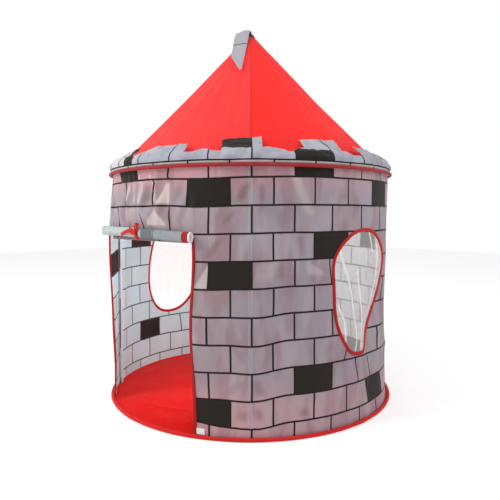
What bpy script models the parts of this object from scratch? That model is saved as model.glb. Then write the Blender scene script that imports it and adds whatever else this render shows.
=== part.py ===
"""Round kids play tent: a castle tower of cloth on two sewn-in steel hoops and four jointed poles.

Metres, +Z up. The origin is on the ground under the middle of the floor. The doorway faces -Y and the two
net windows face +X and -X. The poles stand on the four diagonals, between the wall panels.
"""

import math

import bmesh
import bpy
from mathutils import Vector

# Cloth, thicknesses and gaps
CLOTH = 0.0016
TAPE = 0.0010
TOUCH = 0.0003
SEAM_GAP = 0.00025

# Wall
WALL_RADIUS = 0.5105
WALL_TOP = 0.8035
FOLD_DEPTH = 0.004
FOLD_REACH = math.radians(14)
QUARTER = math.radians(90)
WALL_FOOT = 0.0004

# Hoops and the tapes that wrap them
HOOP_SEGMENTS = 48
HOOP_RADIUS = 0.5186
HOOP_TAPE_RADIUS = 0.006
HOOP_TAPE_BORE = 0.0042
HOOP_TAPE_SLIT = 0.0008
HOOP_TAPE_LIP = 0.92
HOOP_WIRE_RADIUS = 0.0030
HOOP_FLAT = HOOP_TAPE_RADIUS * math.cos(math.radians(30))
EAVE_HEIGHT = 0.800

# Roof
ROOF_FOOT_RADIUS = 0.5100
ROOF_FOOT_HEIGHT = 0.8055
ROOF_POINT_HEIGHT = 1.345
ROOF_TOP_RADIUS = 0.012
GORE_SAG = 0.008
GORE_ROWS = (0.0, 0.22, 0.45, 0.68, 0.88, 1.0)
GORE_COLUMNS = 12
ROOF_SLOPE = math.atan2(ROOF_POINT_HEIGHT - ROOF_FOOT_HEIGHT, ROOF_FOOT_RADIUS)

# Door
DOOR_ANGLE = math.radians(-90)
DOOR_HALF_ANGLE = math.radians(26)
DOOR_TOP = 0.594
DOOR_LINE = WALL_RADIUS * math.cos(DOOR_HALF_ANGLE)
DOOR_HALF_WIDTH = WALL_RADIUS * math.sin(DOOR_HALF_ANGLE)
DOOR_TAB_WIDTH = 0.024
DOOR_TAB_HEIGHTS = (0.0115, 0.0300)
WALL_ROWS = (WALL_FOOT, 0.2, 0.4, DOOR_TOP, 0.67, WALL_TOP)

# Windows
WINDOW_HEIGHT = 0.4165
WINDOW_HALF_WIDTH = 0.133
WINDOW_HALF_HEIGHT = 0.190
WINDOW_FULLNESS = 0.82
WINDOW_POINTS = 32
NET_THICKNESS = 0.0012
NET_PITCH = 0.042
NET_STRAND = 0.0016
NET_LEAST_MESH = 0.3 * NET_PITCH**2

# Edge tape folded over a cut edge of cloth
EDGE_WEB = 0.0013
EDGE_FLANGE = 0.0090
EDGE_SLOT = 0.0016
EDGE_HALF = EDGE_SLOT + TAPE

# Poles, sleeves and moulded joints
POLE_RADIUS = 0.0040
BORE_RADIUS = 0.0044
FERRULE_RADIUS = 0.0052
FERRULE_REACH = 0.025
SLEEVE_RADIUS = 0.0066
SLEEVE_BORE = 0.0056
POLE_LINE_RADIUS = 0.5024
POLE_SIDES = 8
SOCKET_RADIUS = 0.0065
COLLAR_RADIUS = 0.0070
COLLAR_LENGTH = 0.004
ELBOW_REACH = 0.028
ELBOW_STOP = 0.008
HUB_REACH = 0.060
HUB_STOP = 0.030
HUB_SIDES = 24
HUB_PROFILE = (
    (-0.0490, 0.0110),
    (-0.0470, 0.0130),
    (-0.0415, 0.0140),
    (-0.0410, 0.0275),
    (-0.0375, 0.0285),
    (-0.0365, 0.0150),
    (-0.0130, 0.0150),
    (-0.0040, 0.0080),
    (0.0010, 0.0040),
)
SLEEVE_FOOT = 0.004
POLE_GAP = 0.0007
POLE_OFFSET = CLOTH / 2 + COLLAR_RADIUS + POLE_GAP

# Battlement band
MERLONS = 14
MERLON_FIRST = math.radians(-47.5)
MERLON_HALF_ANGLE = math.radians(6.9)
BAND_PROFILE = ((0.5155, 0.8062), (0.5182, 0.826), (0.5085, 0.8425), (0.4780, 0.8630), (0.4440, 0.8860))
BAND_LOW_ROWS = 2
BAND_WAVE = 0.0012

# Rolled-up door flap
ROLL_LINE = 0.4762
ROLL_HEIGHT = 0.596
ROLL_HALF_HEIGHT = 0.0172
ROLL_DEPTH_SHARE = 0.54
ROLL_LEFT = -0.262
ROLL_RED_START = 0.198
ROLL_WHITE_START = 0.228
ROLL_RIGHT = 0.234
ROLL_TURNS = 4
ROLL_PITCH = 0.0031
ROLL_STEPS = 14
ROLL_CLOTH = 0.0014
CURTAIN_MARGIN = 0.004
CURTAIN_CLOTH = 0.001
CURTAIN_PROFILE = ((0.0052, -0.0180), (0.0048, -0.0120), (0.0024, -0.0065), (0.0, -0.0026))
RIBBON_X = -0.040
RIBBON_WIDTH = 0.012
RIBBON_BAND = 0.0008
RIBBON_SIDES = 24
RIBBON_FORWARD = 0.004
RIBBON_DROOP = 0.003
RIBBON_ENDS = ((-0.060, -0.004, 0.010), (0.020, 0.016, 0.009), (0.008, -0.022, 0.009))
KNOT_PROFILE = ((-0.0006, 0.0055), (0.0030, 0.0065), (0.0060, 0.0040))

# Peak
CAP_RIM_RADIUS = 0.0150
CAP_RIM_THICKNESS = 0.0016
CAP_LIFT = 0.0012
CAP_THROAT_RADIUS = 0.0020
CAP_SHOULDER_RISE = 0.0160
CAP_SHOULDER_RADIUS = 0.0060
CAP_TIP_HEIGHT = 1.3550
CAP_TIP_RADIUS = 0.0015
CAP_SIDES = 16
TAB_HEIGHT = 1.3585
TAB_DIRECTION = Vector((-math.sqrt(0.5), -math.sqrt(0.5), 0.0))
TAB_FRONT = Vector((math.sqrt(0.5), -math.sqrt(0.5), 0.0))
TAB_START = 0.0015
TAB_WIDTH = 0.0545
TAB_REST = 0.0045
TAB_FALL = 0.16
TAB_DRAPE = 0.25
TAB_DRAPE_START = 0.1
TAB_DRAPE_RADIUS = 0.08
TAB_POINT_SHARE = 0.3
TAB_INNER_FOOT = Vector((0.0310, 0.2580))
TAB_POINT = Vector((0.0370, 0.2610))
TAB_OUTER_FOOT = Vector((0.0694, 0.161))

UP = Vector((0.0, 0.0, 1.0))
OUT = Vector((1.0, 0.0, 0.0))
FORWARD = Vector((0.0, -1.0, 0.0))
SIDES = {"front": -90, "right": 0, "rear": 90, "left": 180}
CORNERS = {"front_right": -45, "rear_right": 45, "rear_left": 135, "front_left": -135}

GREY_PRINT = ((0.38, 0.35, 0.38), 0.8, 0.0)
RED_CLOTH = ((0.80, 0.03, 0.02), 0.7, 0.0)
RED_TAPE = ((0.52, 0.02, 0.02), 0.6, 0.0)
RED_FLOOR = ((0.60, 0.01, 0.01), 0.7, 0.0)
WHITE_NET = ((0.85, 0.85, 0.86), 0.8, 0.0)
WHITE_TAPE = ((0.82, 0.82, 0.82), 0.9, 0.0)
STEEL = ((0.55, 0.56, 0.57), 0.35, 1.0)
FIBREGLASS = ((0.75, 0.76, 0.74), 0.45, 0.0)
MOULDING = ((0.03, 0.03, 0.03), 0.4, 0.0)
SLEEVE_CLOTH = ((0.45, 0.46, 0.50), 0.8, 0.0)
BLACK_CLOTH = ((0.02, 0.02, 0.02), 0.8, 0.0)


def polar(radius, angle, height):
    return Vector((radius * math.cos(angle), radius * math.sin(angle), height))


def turn_between(angle, other):
    """The unsigned angle from one bearing to the other."""
    return abs((angle - other + math.pi) % (2 * math.pi) - math.pi)


def spaced(first, last, count):
    """count steps from first to last, without the last."""
    return [first + (last - first) * step / count for step in range(count)]


def add_object(name, mesh, finish):
    """Links the mesh as a smooth-shaded object with a material of its own."""
    colour, roughness, metallic = finish
    material = bpy.data.materials.new(name + "_material")
    material.use_nodes = True
    shader = material.node_tree.nodes["Principled BSDF"]
    shader.inputs["Base Color"].default_value = (*colour, 1.0)
    shader.inputs["Roughness"].default_value = roughness
    shader.inputs["Metallic"].default_value = metallic
    mesh.materials.clear()
    mesh.materials.append(material)
    mesh.shade_smooth()
    mesh.set_sharp_from_angle(angle=math.radians(35))
    obj = bpy.data.objects.new(name, mesh)
    bpy.context.scene.collection.objects.link(obj)
    return obj


def mesh_from(bm, name):
    mesh = bpy.data.meshes.new(name)
    bm.to_mesh(mesh)
    bm.free()
    return mesh


def skin(rings, closed):
    """A closed mesh through equal rings of points. An open row of rings gets a cap at each end."""
    bm = bmesh.new()
    rows = [[bm.verts.new(point) for point in ring] for ring in rings]
    pairs = list(zip(rows, rows[1:]))
    if closed:
        pairs.append((rows[-1], rows[0]))
    else:
        bm.faces.new(rows[0])
        bm.faces.new(rows[-1])
    for near, far in pairs:
        for index in range(len(near)):
            beside = (index + 1) % len(near)
            bm.faces.new((near[index], near[beside], far[beside], far[index]))
    bmesh.ops.recalc_face_normals(bm, faces=bm.faces)
    return bm


def circle(centre, direction, radius, sides, flat_to):
    """Points round a line, with the middle of one side of the polygon towards flat_to."""
    direction = direction.normalized()
    up = flat_to - direction * flat_to.dot(direction)
    up.normalize()
    across = direction.cross(up)
    points = []
    for index in range(sides):
        turn = 2 * math.pi * (index + 0.5) / sides
        points.append(centre + (up * math.cos(turn) + across * math.sin(turn)) * radius)
    return points


def turned(origin, direction, stations, flat_to, closed=False, sides=POLE_SIDES):
    """A turned shape: each station is a distance along the line and the radius there."""
    direction = direction.normalized()
    rings = []
    for along, radius in stations:
        rings.append(circle(origin + direction * along, direction, radius, sides, flat_to))
    return skin(rings, closed)


def cloth(name, points, kept, finish, thickness=CLOTH, closed=False):
    """A sheet of cloth through a grid of points. kept(row, column) leaves a cell out where it is false."""
    bm = bmesh.new()
    verts = [[bm.verts.new(point) for point in row] for row in points]
    columns = len(points[0]) if closed else len(points[0]) - 1
    for row in range(len(points) - 1):
        for column in range(columns):
            if not kept(row, column):
                continue
            beside = (column + 1) % len(points[0])
            low, high = verts[row], verts[row + 1]
            bm.faces.new((low[column], low[beside], high[beside], high[column]))
    loose = [vert for vert in bm.verts if not vert.link_faces]
    bmesh.ops.delete(bm, geom=loose, context="VERTS")
    obj = add_object(name, mesh_from(bm, name), finish)
    thicken(obj, thickness)
    return obj


def thicken(obj, thickness):
    solidify = obj.modifiers.new("thickness", "SOLIDIFY")
    solidify.thickness = thickness
    solidify.offset = 0.0


def everywhere(row, column):
    return True


def cut(obj, cutter):
    """Takes the cutter's shape out of the object, and keeps the cutter as a guide."""
    cutter.hide_render = True
    cutter.display_type = "WIRE"
    boolean = obj.modifiers.new("cut", "BOOLEAN")
    boolean.operation = "DIFFERENCE"
    boolean.object = cutter


def joined(name, shapes, finish):
    """One body out of several overlapping shapes."""
    whole = add_object(name, mesh_from(shapes[0], name), finish)
    for shape in shapes[1:]:
        guide = bpy.data.objects.new(name + "_guide", mesh_from(shape, name + "_guide"))
        bpy.context.scene.collection.objects.link(guide)
        guide.hide_render = True
        guide.display_type = "WIRE"
        boolean = whole.modifiers.new("join", "BOOLEAN")
        boolean.operation = "UNION"
        boolean.object = guide
    return whole


# Wall cloth


def wall_radius(angle, height):
    """The cloth bows in beside each pole, and over the door its lower edge is pulled straight."""
    radius = WALL_RADIUS
    beside_pole = min(turn_between(angle, math.radians(corner)) for corner in CORNERS.values())
    if beside_pole < FOLD_REACH:
        bow = math.sin(math.pi * beside_pole / FOLD_REACH) ** 2
        radius -= FOLD_DEPTH * bow * math.sin(math.pi * height / WALL_TOP)
    from_door = turn_between(angle, DOOR_ANGLE)
    if from_door < DOOR_HALF_ANGLE:
        pull = min(1.0, (WALL_TOP - height) / (WALL_TOP - DOOR_TOP))
        radius += (DOOR_LINE / math.cos(from_door) - WALL_RADIUS) * pull
    return radius


def wall_point(angle, height, outward=0.0):
    return polar(wall_radius(angle, height) + outward, angle, height)


def panel_turns():
    """Column lines of a wall panel, from seam to seam, with a line on each door jamb."""
    edge = QUARTER / 2 - SEAM_GAP / WALL_RADIUS
    jamb = DOOR_HALF_ANGLE
    lines = spaced(-edge, -jamb, 5) + spaced(-jamb, jamb, 14) + spaced(jamb, edge, 5)
    return lines + [edge]


def in_doorway(row, column):
    turns = panel_turns()
    middle = (turns[column] + turns[column + 1]) / 2
    return abs(middle) < DOOR_HALF_ANGLE and WALL_ROWS[row] < DOOR_TOP


def outside_doorway(row, column):
    return not in_doorway(row, column)


def add_wall(side):
    bearing = math.radians(SIDES[side])
    points = [[wall_point(bearing + turn, height) for turn in panel_turns()] for height in WALL_ROWS]
    kept = outside_doorway if side == "front" else everywhere
    return cloth(side + "_wall", points, kept, GREY_PRINT)


# Windows


def oval(step, outset):
    """A point round the full oval, on the flat panel."""
    turn = 2 * math.pi * step / WINDOW_POINTS
    across = math.copysign(abs(math.cos(turn)) ** WINDOW_FULLNESS, math.cos(turn))
    rise = math.copysign(abs(math.sin(turn)) ** WINDOW_FULLNESS, math.sin(turn))
    return (WINDOW_HALF_WIDTH + outset) * across, (WINDOW_HALF_HEIGHT + outset) * rise


def window_point(bearing, step, outset=0.0, outward=0.0):
    """A point round the oval, as far as outset beyond its edge, on the wall or outward of it."""
    across, rise = oval(step, outset)
    return wall_point(bearing + across / WALL_RADIUS, WINDOW_HEIGHT + rise, outward)


def add_window_cutter(side):
    bearing = math.radians(SIDES[side])
    rings = []
    for reach in (0.8, 1.2):
        ring = [window_point(bearing, step) for step in range(WINDOW_POINTS)]
        rings.append([Vector((reach * WALL_RADIUS * math.cos(bearing), point.y, point.z)) for point in ring])
    cutter = bpy.data.objects.new(side + "_window_cutter", mesh_from(skin(rings, False), "cutter"))
    bpy.context.scene.collection.objects.link(cutter)
    return cutter


def edge_section():
    """The folded tape's section: how far into the cloth, and how far off its middle."""
    inner = -TOUCH
    outer = -EDGE_WEB
    return (
        (outer, -EDGE_HALF),
        (EDGE_FLANGE, -EDGE_HALF),
        (EDGE_FLANGE, -EDGE_SLOT),
        (inner, -EDGE_SLOT),
        (inner, EDGE_SLOT),
        (EDGE_FLANGE, EDGE_SLOT),
        (EDGE_FLANGE, EDGE_HALF),
        (outer, EDGE_HALF),
    )


def add_window_tape(side):
    bearing = math.radians(SIDES[side])
    rings = []
    for step in range(WINDOW_POINTS):
        rings.append([window_point(bearing, step, into, off) for into, off in edge_section()])
    return add_object(side + "_window_tape", mesh_from(skin(rings, True), "tape"), RED_TAPE)


def add_window_net(side):
    """The oval is cut along straight threads, and each mesh between them is opened."""
    bearing = math.radians(SIDES[side])
    inset = EDGE_WEB + 2 * TOUCH
    bm = bmesh.new()
    bm.faces.new([bm.verts.new((*oval(step, -inset), 0.0)) for step in range(WINDOW_POINTS)])
    for axis, half in ((0, WINDOW_HALF_WIDTH), (1, WINDOW_HALF_HEIGHT)):
        threads = int(half / NET_PITCH)
        for thread in range(-threads, threads + 1):
            place = Vector((0.0, 0.0, 0.0))
            place[axis] = thread * NET_PITCH
            normal = Vector((0.0, 0.0, 0.0))
            normal[axis] = 1.0
            geometry = bm.verts[:] + bm.edges[:] + bm.faces[:]
            bmesh.ops.bisect_plane(bm, geom=geometry, plane_co=place, plane_no=normal, dist=1e-6)
    meshes = [face for face in bm.faces if face.calc_area() > NET_LEAST_MESH]
    bmesh.ops.inset_individual(bm, faces=meshes, thickness=NET_STRAND / 2)
    bmesh.ops.delete(bm, geom=meshes, context="FACES_ONLY")
    for vert in bm.verts:
        vert.co = wall_point(bearing + vert.co.x / WALL_RADIUS, WINDOW_HEIGHT + vert.co.y)
    net = add_object(side + "_window_net", mesh_from(bm, "net"), WHITE_NET)
    thicken(net, NET_THICKNESS)
    return net


# Door edge, flap and ties


def add_edge_tape(name, stations):
    """A tape folded over an open edge. A station is a place, the way into the cloth and the way out."""
    rings = []
    for place, into, outward in stations:
        rings.append([place + into * along + outward * off for along, off in edge_section()])
    return add_object(name, mesh_from(skin(rings, False), name), RED_TAPE)


def add_door_tapes():
    """One tape up each jamb, and one along the head that passes over the tops of the other two."""
    for side, sign in (("left", -1), ("right", 1)):
        jamb = DOOR_ANGLE + sign * DOOR_HALF_ANGLE
        sideways = Vector((-math.sin(jamb), math.cos(jamb), 0.0)) * sign
        outward = polar(1.0, jamb, 0.0)
        heights = (2 * HOOP_FLAT + TOUCH, DOOR_TOP - EDGE_WEB - TOUCH)
        stations = [(wall_point(jamb, height), sideways, outward) for height in heights]
        add_edge_tape(side + "_jamb_tape", stations)
    reach = DOOR_HALF_ANGLE - TOUCH / WALL_RADIUS
    head = []
    for turn in spaced(-reach, reach, 14) + [reach]:
        place = wall_point(DOOR_ANGLE + turn, DOOR_TOP)
        rise = (wall_point(DOOR_ANGLE + turn, WALL_TOP) - place).normalized()
        head.append((place, rise, Vector((1.0, 0.0, 0.0)).cross(rise).normalized()))
    add_edge_tape("door_head_tape", head)


def roll_winding():
    """The wound cloth's flattened section: points along its outer face and along its inner face."""
    outer, inner = [], []
    for step in range(ROLL_TURNS * ROLL_STEPS + 1):
        turn = 2 * math.pi * step / ROLL_STEPS
        radius = ROLL_HALF_HEIGHT - ROLL_PITCH * step / ROLL_STEPS
        way = Vector((0.0, ROLL_DEPTH_SHARE * math.cos(turn), math.sin(turn)))
        outer.append(way * radius)
        inner.append(way * (radius - ROLL_CLOTH))
    return outer, inner


def least_winding_gap():
    """Measured on the winding's points: each inner point against the outer face one turn further in."""
    outer, inner = roll_winding()
    gaps = []
    for index in range(len(outer) - ROLL_STEPS - 1):
        near, far = outer[index + ROLL_STEPS], outer[index + ROLL_STEPS + 1]
        along = (far - near).normalized()
        offset = inner[index] - near
        gaps.append((offset - along * offset.dot(along)).length)
    return min(gaps)


def add_wound(name, left, right, finish):
    outer, inner = roll_winding()
    section = outer + inner[::-1]
    line = Vector((0.0, -ROLL_LINE, ROLL_HEIGHT))
    rings = [[line + point + Vector((x, 0.0, 0.0)) for point in section] for x in (left, right)]
    return add_object(name, mesh_from(skin(rings, False), name), finish)


def strip(points, width_way, width, thickness_ways):
    """A flat ribbon through points, thickened along the way given at each point."""
    rings = []
    for point, thick in zip(points, thickness_ways):
        side = width_way * (width / 2)
        depth = thick.normalized() * (RIBBON_BAND / 2)
        low, high = point - depth, point + depth
        rings.append([low - side, low + side, high + side, high - side])
    return skin(rings, False)


def add_ribbon():
    """A ribbon round the roll with its knot, two loops and two tails in front."""
    line = Vector((RIBBON_X, -ROLL_LINE, ROLL_HEIGHT))
    half = RIBBON_WIDTH / 2
    inner = 2 * TOUCH
    outer = inner + RIBBON_BAND
    depth = ROLL_HALF_HEIGHT * ROLL_DEPTH_SHARE
    rings = []
    for turn in spaced(0.0, 2 * math.pi, RIBBON_SIDES):
        ring = []
        for x, gap in ((-half, outer), (half, outer), (half, inner), (-half, inner)):
            back = (depth + gap) * math.cos(turn)
            ring.append(line + Vector((x, back, (ROLL_HALF_HEIGHT + gap) * math.sin(turn))))
        rings.append(ring)
    front = line + FORWARD * (depth + outer)
    shapes = [skin(rings, True), turned(front, FORWARD, KNOT_PROFILE, OUT)]
    for reach, rise, width in RIBBON_ENDS:
        end = OUT * reach + FORWARD * RIBBON_FORWARD + UP * rise
        along = end.normalized()
        across = FORWARD.cross(along).normalized()
        points, thick = [], []
        for share in spaced(0.0, 1.0, 3) + [1.0]:
            off = RIBBON_DROOP * (1 + math.sin(math.pi * share))
            points.append(front + FORWARD * off + end * share)
            thick.append(across.cross(along))
        shapes.append(strip(points, across, width, thick))
    return joined("tie_ribbon", shapes, RED_TAPE)


def add_curtain():
    """The flap's short hanging stretch, from the door's head to the back of the roll."""
    half = DOOR_HALF_WIDTH - CURTAIN_MARGIN
    columns = spaced(-half, half, 3) + [half]
    points = []
    for out, rise in CURTAIN_PROFILE:
        points.append([Vector((x, -DOOR_LINE - out, DOOR_TOP + rise)) for x in columns])
    return cloth("door_curtain", points, everywhere, GREY_PRINT, thickness=CURTAIN_CLOTH)


def add_jamb_tab(side, sign):
    """A hook-and-loop tab on the wall's outer face, beside the foot of one jamb."""
    first = DOOR_HALF_ANGLE + (EDGE_FLANGE + 0.001) / WALL_RADIUS
    turns = sorted(sign * (first + DOOR_TAB_WIDTH / WALL_RADIUS * step / 3) for step in range(4))
    off = CLOTH / 2 + 2 * TOUCH + TAPE / 2
    points = [[wall_point(DOOR_ANGLE + turn, height, off) for turn in turns] for height in DOOR_TAB_HEIGHTS]
    return cloth(side + "_door_tab", points, everywhere, WHITE_TAPE, thickness=TAPE)


# Hoops and floor


def hoop_tape_section():
    """A hexagon wrapped round the wire, open in a slit where the wall cloth goes in."""
    outer, inner = [], []
    for turn in (120, 60, 0, -60, -120):
        way = Vector((math.cos(math.radians(turn)), math.sin(math.radians(turn))))
        outer.append(way * HOOP_TAPE_RADIUS)
        inner.append(way * HOOP_TAPE_BORE)
    lip = HOOP_TAPE_SLIT / 2
    outer_lip = HOOP_TAPE_RADIUS * HOOP_TAPE_LIP
    inner_lip = HOOP_TAPE_BORE * HOOP_TAPE_LIP
    top = Vector((-outer_lip, lip))
    top_in = Vector((-inner_lip, lip))
    bottom = Vector((-outer_lip, -lip))
    bottom_in = Vector((-inner_lip, -lip))
    return [top] + outer + [bottom, bottom_in] + inner[::-1] + [top_in]


def hoop_rings(section, height):
    rings = []
    for angle in spaced(0.0, 2 * math.pi, HOOP_SEGMENTS):
        rings.append([polar(HOOP_RADIUS + point.x, angle, height + point.y) for point in section])
    return rings


def add_hoop(name, height):
    tape = skin(hoop_rings(hoop_tape_section(), height), True)
    add_object(name + "_hoop_tape", mesh_from(tape, "tape"), RED_TAPE)
    section = []
    for index in range(5):
        turn = 2 * math.pi * index / 5
        section.append(Vector((math.cos(turn), math.sin(turn))) * HOOP_WIRE_RADIUS)
    wire = skin(hoop_rings(section, height), True)
    add_object(name + "_hoop_wire", mesh_from(wire, "wire"), STEEL)


def add_floor():
    radius = WALL_RADIUS - CLOTH / 2 - TOUCH
    rings = []
    for height in (0.0, CLOTH):
        rings.append([polar(radius, angle, height) for angle in spaced(0.0, 2 * math.pi, HOOP_SEGMENTS)])
    return add_object("floor_sheet", mesh_from(skin(rings, False), "floor"), RED_FLOOR)


# Poles, sleeves and joints

SLOPE_IN = Vector((-math.cos(ROOF_SLOPE), 0.0, math.sin(ROOF_SLOPE)))
SLOPE_OUT = Vector((math.sin(ROOF_SLOPE), 0.0, math.cos(ROOF_SLOPE)))
HUB_DROP = POLE_OFFSET / math.cos(ROOF_SLOPE)
HUB_CENTRE = Vector((0.0, 0.0, ROOF_POINT_HEIGHT - HUB_DROP))
ELBOW_HEIGHT = HUB_CENTRE.z - POLE_LINE_RADIUS * math.tan(ROOF_SLOPE)
ELBOW = Vector((POLE_LINE_RADIUS, 0.0, ELBOW_HEIGHT))
ROOF_POLE_LENGTH = (HUB_CENTRE - ELBOW).length


def place_at_corner(obj, corner):
    """Shapes are modelled on +X and turned to their diagonal."""
    obj.rotation_euler.z = math.radians(CORNERS[corner])


def socket_pole(start, direction, length, flat_to):
    """A rod whose far end carries a glued ferrule, open for the next rod."""
    stop = length - FERRULE_REACH
    stations = (
        (0.0, POLE_RADIUS),
        (stop - FERRULE_REACH, POLE_RADIUS),
        (stop - FERRULE_REACH, FERRULE_RADIUS),
        (length, FERRULE_RADIUS),
        (length, BORE_RADIUS),
        (stop, BORE_RADIUS),
    )
    return turned(start, direction, stations, flat_to)


def add_jointed_pole(name, corner, start, direction, length, flat_to):
    """Two rods: the lower one's ferrule holds the foot of the upper one."""
    lower_length = length / 2
    lower = socket_pole(start, direction, lower_length, flat_to)
    place_at_corner(add_object(f"{name}_lower_{corner}", mesh_from(lower, name), FIBREGLASS), corner)
    first = lower_length - FERRULE_REACH + TOUCH
    upper = turned(start, direction, ((first, POLE_RADIUS), (length, POLE_RADIUS)), flat_to)
    place_at_corner(add_object(f"{name}_upper_{corner}", mesh_from(upper, name), FIBREGLASS), corner)


def add_sleeve(name, corner, start, direction, length, flat_to):
    stations = ((0.0, SLEEVE_RADIUS), (length, SLEEVE_RADIUS), (length, SLEEVE_BORE), (0.0, SLEEVE_BORE))
    tube = turned(start, direction, stations, flat_to, closed=True)
    place_at_corner(add_object(f"{name}_{corner}", mesh_from(tube, name), SLEEVE_CLOTH), corner)


def add_elbow(corner):
    """A moulded bend with a collared socket for the wall pole below and the roof pole above."""
    rings = []
    lower = (
        (ELBOW_STOP, BORE_RADIUS),
        (ELBOW_REACH, BORE_RADIUS),
        (ELBOW_REACH, COLLAR_RADIUS),
        (ELBOW_REACH - COLLAR_LENGTH, COLLAR_RADIUS),
        (ELBOW_REACH - COLLAR_LENGTH, SOCKET_RADIUS),
        (SOCKET_RADIUS, SOCKET_RADIUS),
    )
    for along, radius in lower:
        rings.append(circle(ELBOW - UP * along, UP, radius, POLE_SIDES, OUT))
    for along, radius in lower[::-1]:
        rings.append(circle(ELBOW + SLOPE_IN * along, SLOPE_IN, radius, POLE_SIDES, SLOPE_OUT))
    obj = add_object("eave_elbow_" + corner, mesh_from(skin(rings, False), "elbow"), MOULDING)
    place_at_corner(obj, corner)


def add_hub():
    """A moulded crown: a domed boss and a bracing disc that carry four angled sockets with blind bores."""
    shapes = [turned(HUB_CENTRE, UP, HUB_PROFILE, OUT, sides=HUB_SIDES)]
    socket_stations = (
        (SOCKET_RADIUS, SOCKET_RADIUS),
        (HUB_REACH - COLLAR_LENGTH, SOCKET_RADIUS),
        (HUB_REACH - COLLAR_LENGTH, COLLAR_RADIUS),
        (HUB_REACH, COLLAR_RADIUS),
        (HUB_REACH, BORE_RADIUS),
        (HUB_STOP, BORE_RADIUS),
    )
    for bearing in CORNERS.values():
        outward = polar(math.cos(ROOF_SLOPE), math.radians(bearing), -math.sin(ROOF_SLOPE))
        above = polar(math.sin(ROOF_SLOPE), math.radians(bearing), math.cos(ROOF_SLOPE))
        shapes.append(turned(HUB_CENTRE, outward, socket_stations, above))
    return joined("apex_hub", shapes, MOULDING)


def add_frame_corner(corner):
    foot = Vector((POLE_LINE_RADIUS, 0.0, CLOTH + TOUCH))
    wall_pole_length = ELBOW.z - ELBOW_STOP - TOUCH - foot.z
    add_jointed_pole("wall_pole", corner, foot, UP, wall_pole_length, OUT)
    sleeve_foot = foot + UP * SLEEVE_FOOT
    sleeve_top = ELBOW.z - ELBOW_REACH - TOUCH
    add_sleeve("wall_sleeve", corner, sleeve_foot, UP, sleeve_top - sleeve_foot.z, OUT)
    add_elbow(corner)
    roof_start = ELBOW + SLOPE_IN * (ELBOW_STOP + TOUCH)
    roof_length = ROOF_POLE_LENGTH - ELBOW_STOP - HUB_STOP - 2 * TOUCH
    add_jointed_pole("roof_pole", corner, roof_start, SLOPE_IN, roof_length, SLOPE_OUT)
    sleeve_start = ELBOW + SLOPE_IN * (ELBOW_REACH + TOUCH)
    sleeve_length = ROOF_POLE_LENGTH - ELBOW_REACH - HUB_REACH - 2 * TOUCH
    add_sleeve("roof_sleeve", corner, sleeve_start, SLOPE_IN, sleeve_length, SLOPE_OUT)


# Roof, band and peak


def roof_point(bearing, across, up_share):
    """A point on a gore: across runs from -1 to 1 between its seams, and the cloth sags in between."""
    radius = ROOF_FOOT_RADIUS + (ROOF_TOP_RADIUS - ROOF_FOOT_RADIUS) * up_share
    height = ROOF_POINT_HEIGHT - radius * math.tan(ROOF_SLOPE)
    sag = GORE_SAG * (1 - across**2) * math.sin(math.pi * up_share)
    angle = bearing + across * (QUARTER / 2 - SEAM_GAP / radius)
    return polar(radius - sag * math.sin(ROOF_SLOPE), angle, height - sag * math.cos(ROOF_SLOPE))


def add_gore(side):
    bearing = math.radians(SIDES[side])
    columns = spaced(-1.0, 1.0, GORE_COLUMNS) + [1.0]
    points = [[roof_point(bearing, across, share) for across in columns] for share in GORE_ROWS]
    return cloth(side + "_roof_gore", points, everywhere, RED_CLOTH)


def band_turns():
    """Column lines of the band: three columns a merlon and two a gap."""
    pitch = 2 * math.pi / MERLONS
    lines = []
    for merlon in range(MERLONS):
        centre = MERLON_FIRST + pitch * merlon
        lines += spaced(centre - MERLON_HALF_ANGLE, centre + MERLON_HALF_ANGLE, 3)
        lines += spaced(centre + MERLON_HALF_ANGLE, centre + pitch - MERLON_HALF_ANGLE, 2)
    return lines


def in_merlon(row, column):
    return row < BAND_LOW_ROWS or column % 5 < 3


def add_band():
    """The castellated band stands on the upper hoop, bellies out and leans over the roof's foot."""
    points = []
    for row, (radius, height) in enumerate(BAND_PROFILE):
        share = row / (len(BAND_PROFILE) - 1)
        line = []
        for angle in band_turns():
            wave = BAND_WAVE * share * (math.sin(9 * angle) + math.sin(23 * angle))
            line.append(polar(radius + wave, angle, height))
        points.append(line)
    return cloth("battlement_band", points, in_merlon, GREY_PRINT, closed=True)


def add_cap():
    """A stitched point over the gores' tips."""
    rise = CLOTH / 2 / math.cos(ROOF_SLOPE) + CAP_LIFT
    inner_rim = ROOF_POINT_HEIGHT + rise - CAP_RIM_RADIUS * math.tan(ROOF_SLOPE)
    inner_top = ROOF_POINT_HEIGHT + rise - CAP_THROAT_RADIUS * math.tan(ROOF_SLOPE)
    stations = (
        (inner_top, CAP_THROAT_RADIUS),
        (inner_rim, CAP_RIM_RADIUS),
        (inner_rim, CAP_RIM_RADIUS + CAP_RIM_THICKNESS),
        (inner_rim + CAP_SHOULDER_RISE, CAP_SHOULDER_RADIUS),
        (CAP_TIP_HEIGHT, CAP_TIP_RADIUS),
    )
    shape = turned(Vector((0.0, 0.0, 0.0)), UP, stations, OUT, sides=CAP_SIDES)
    return add_object("apex_cap", mesh_from(shape, "cap"), BLACK_CLOTH)


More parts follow.
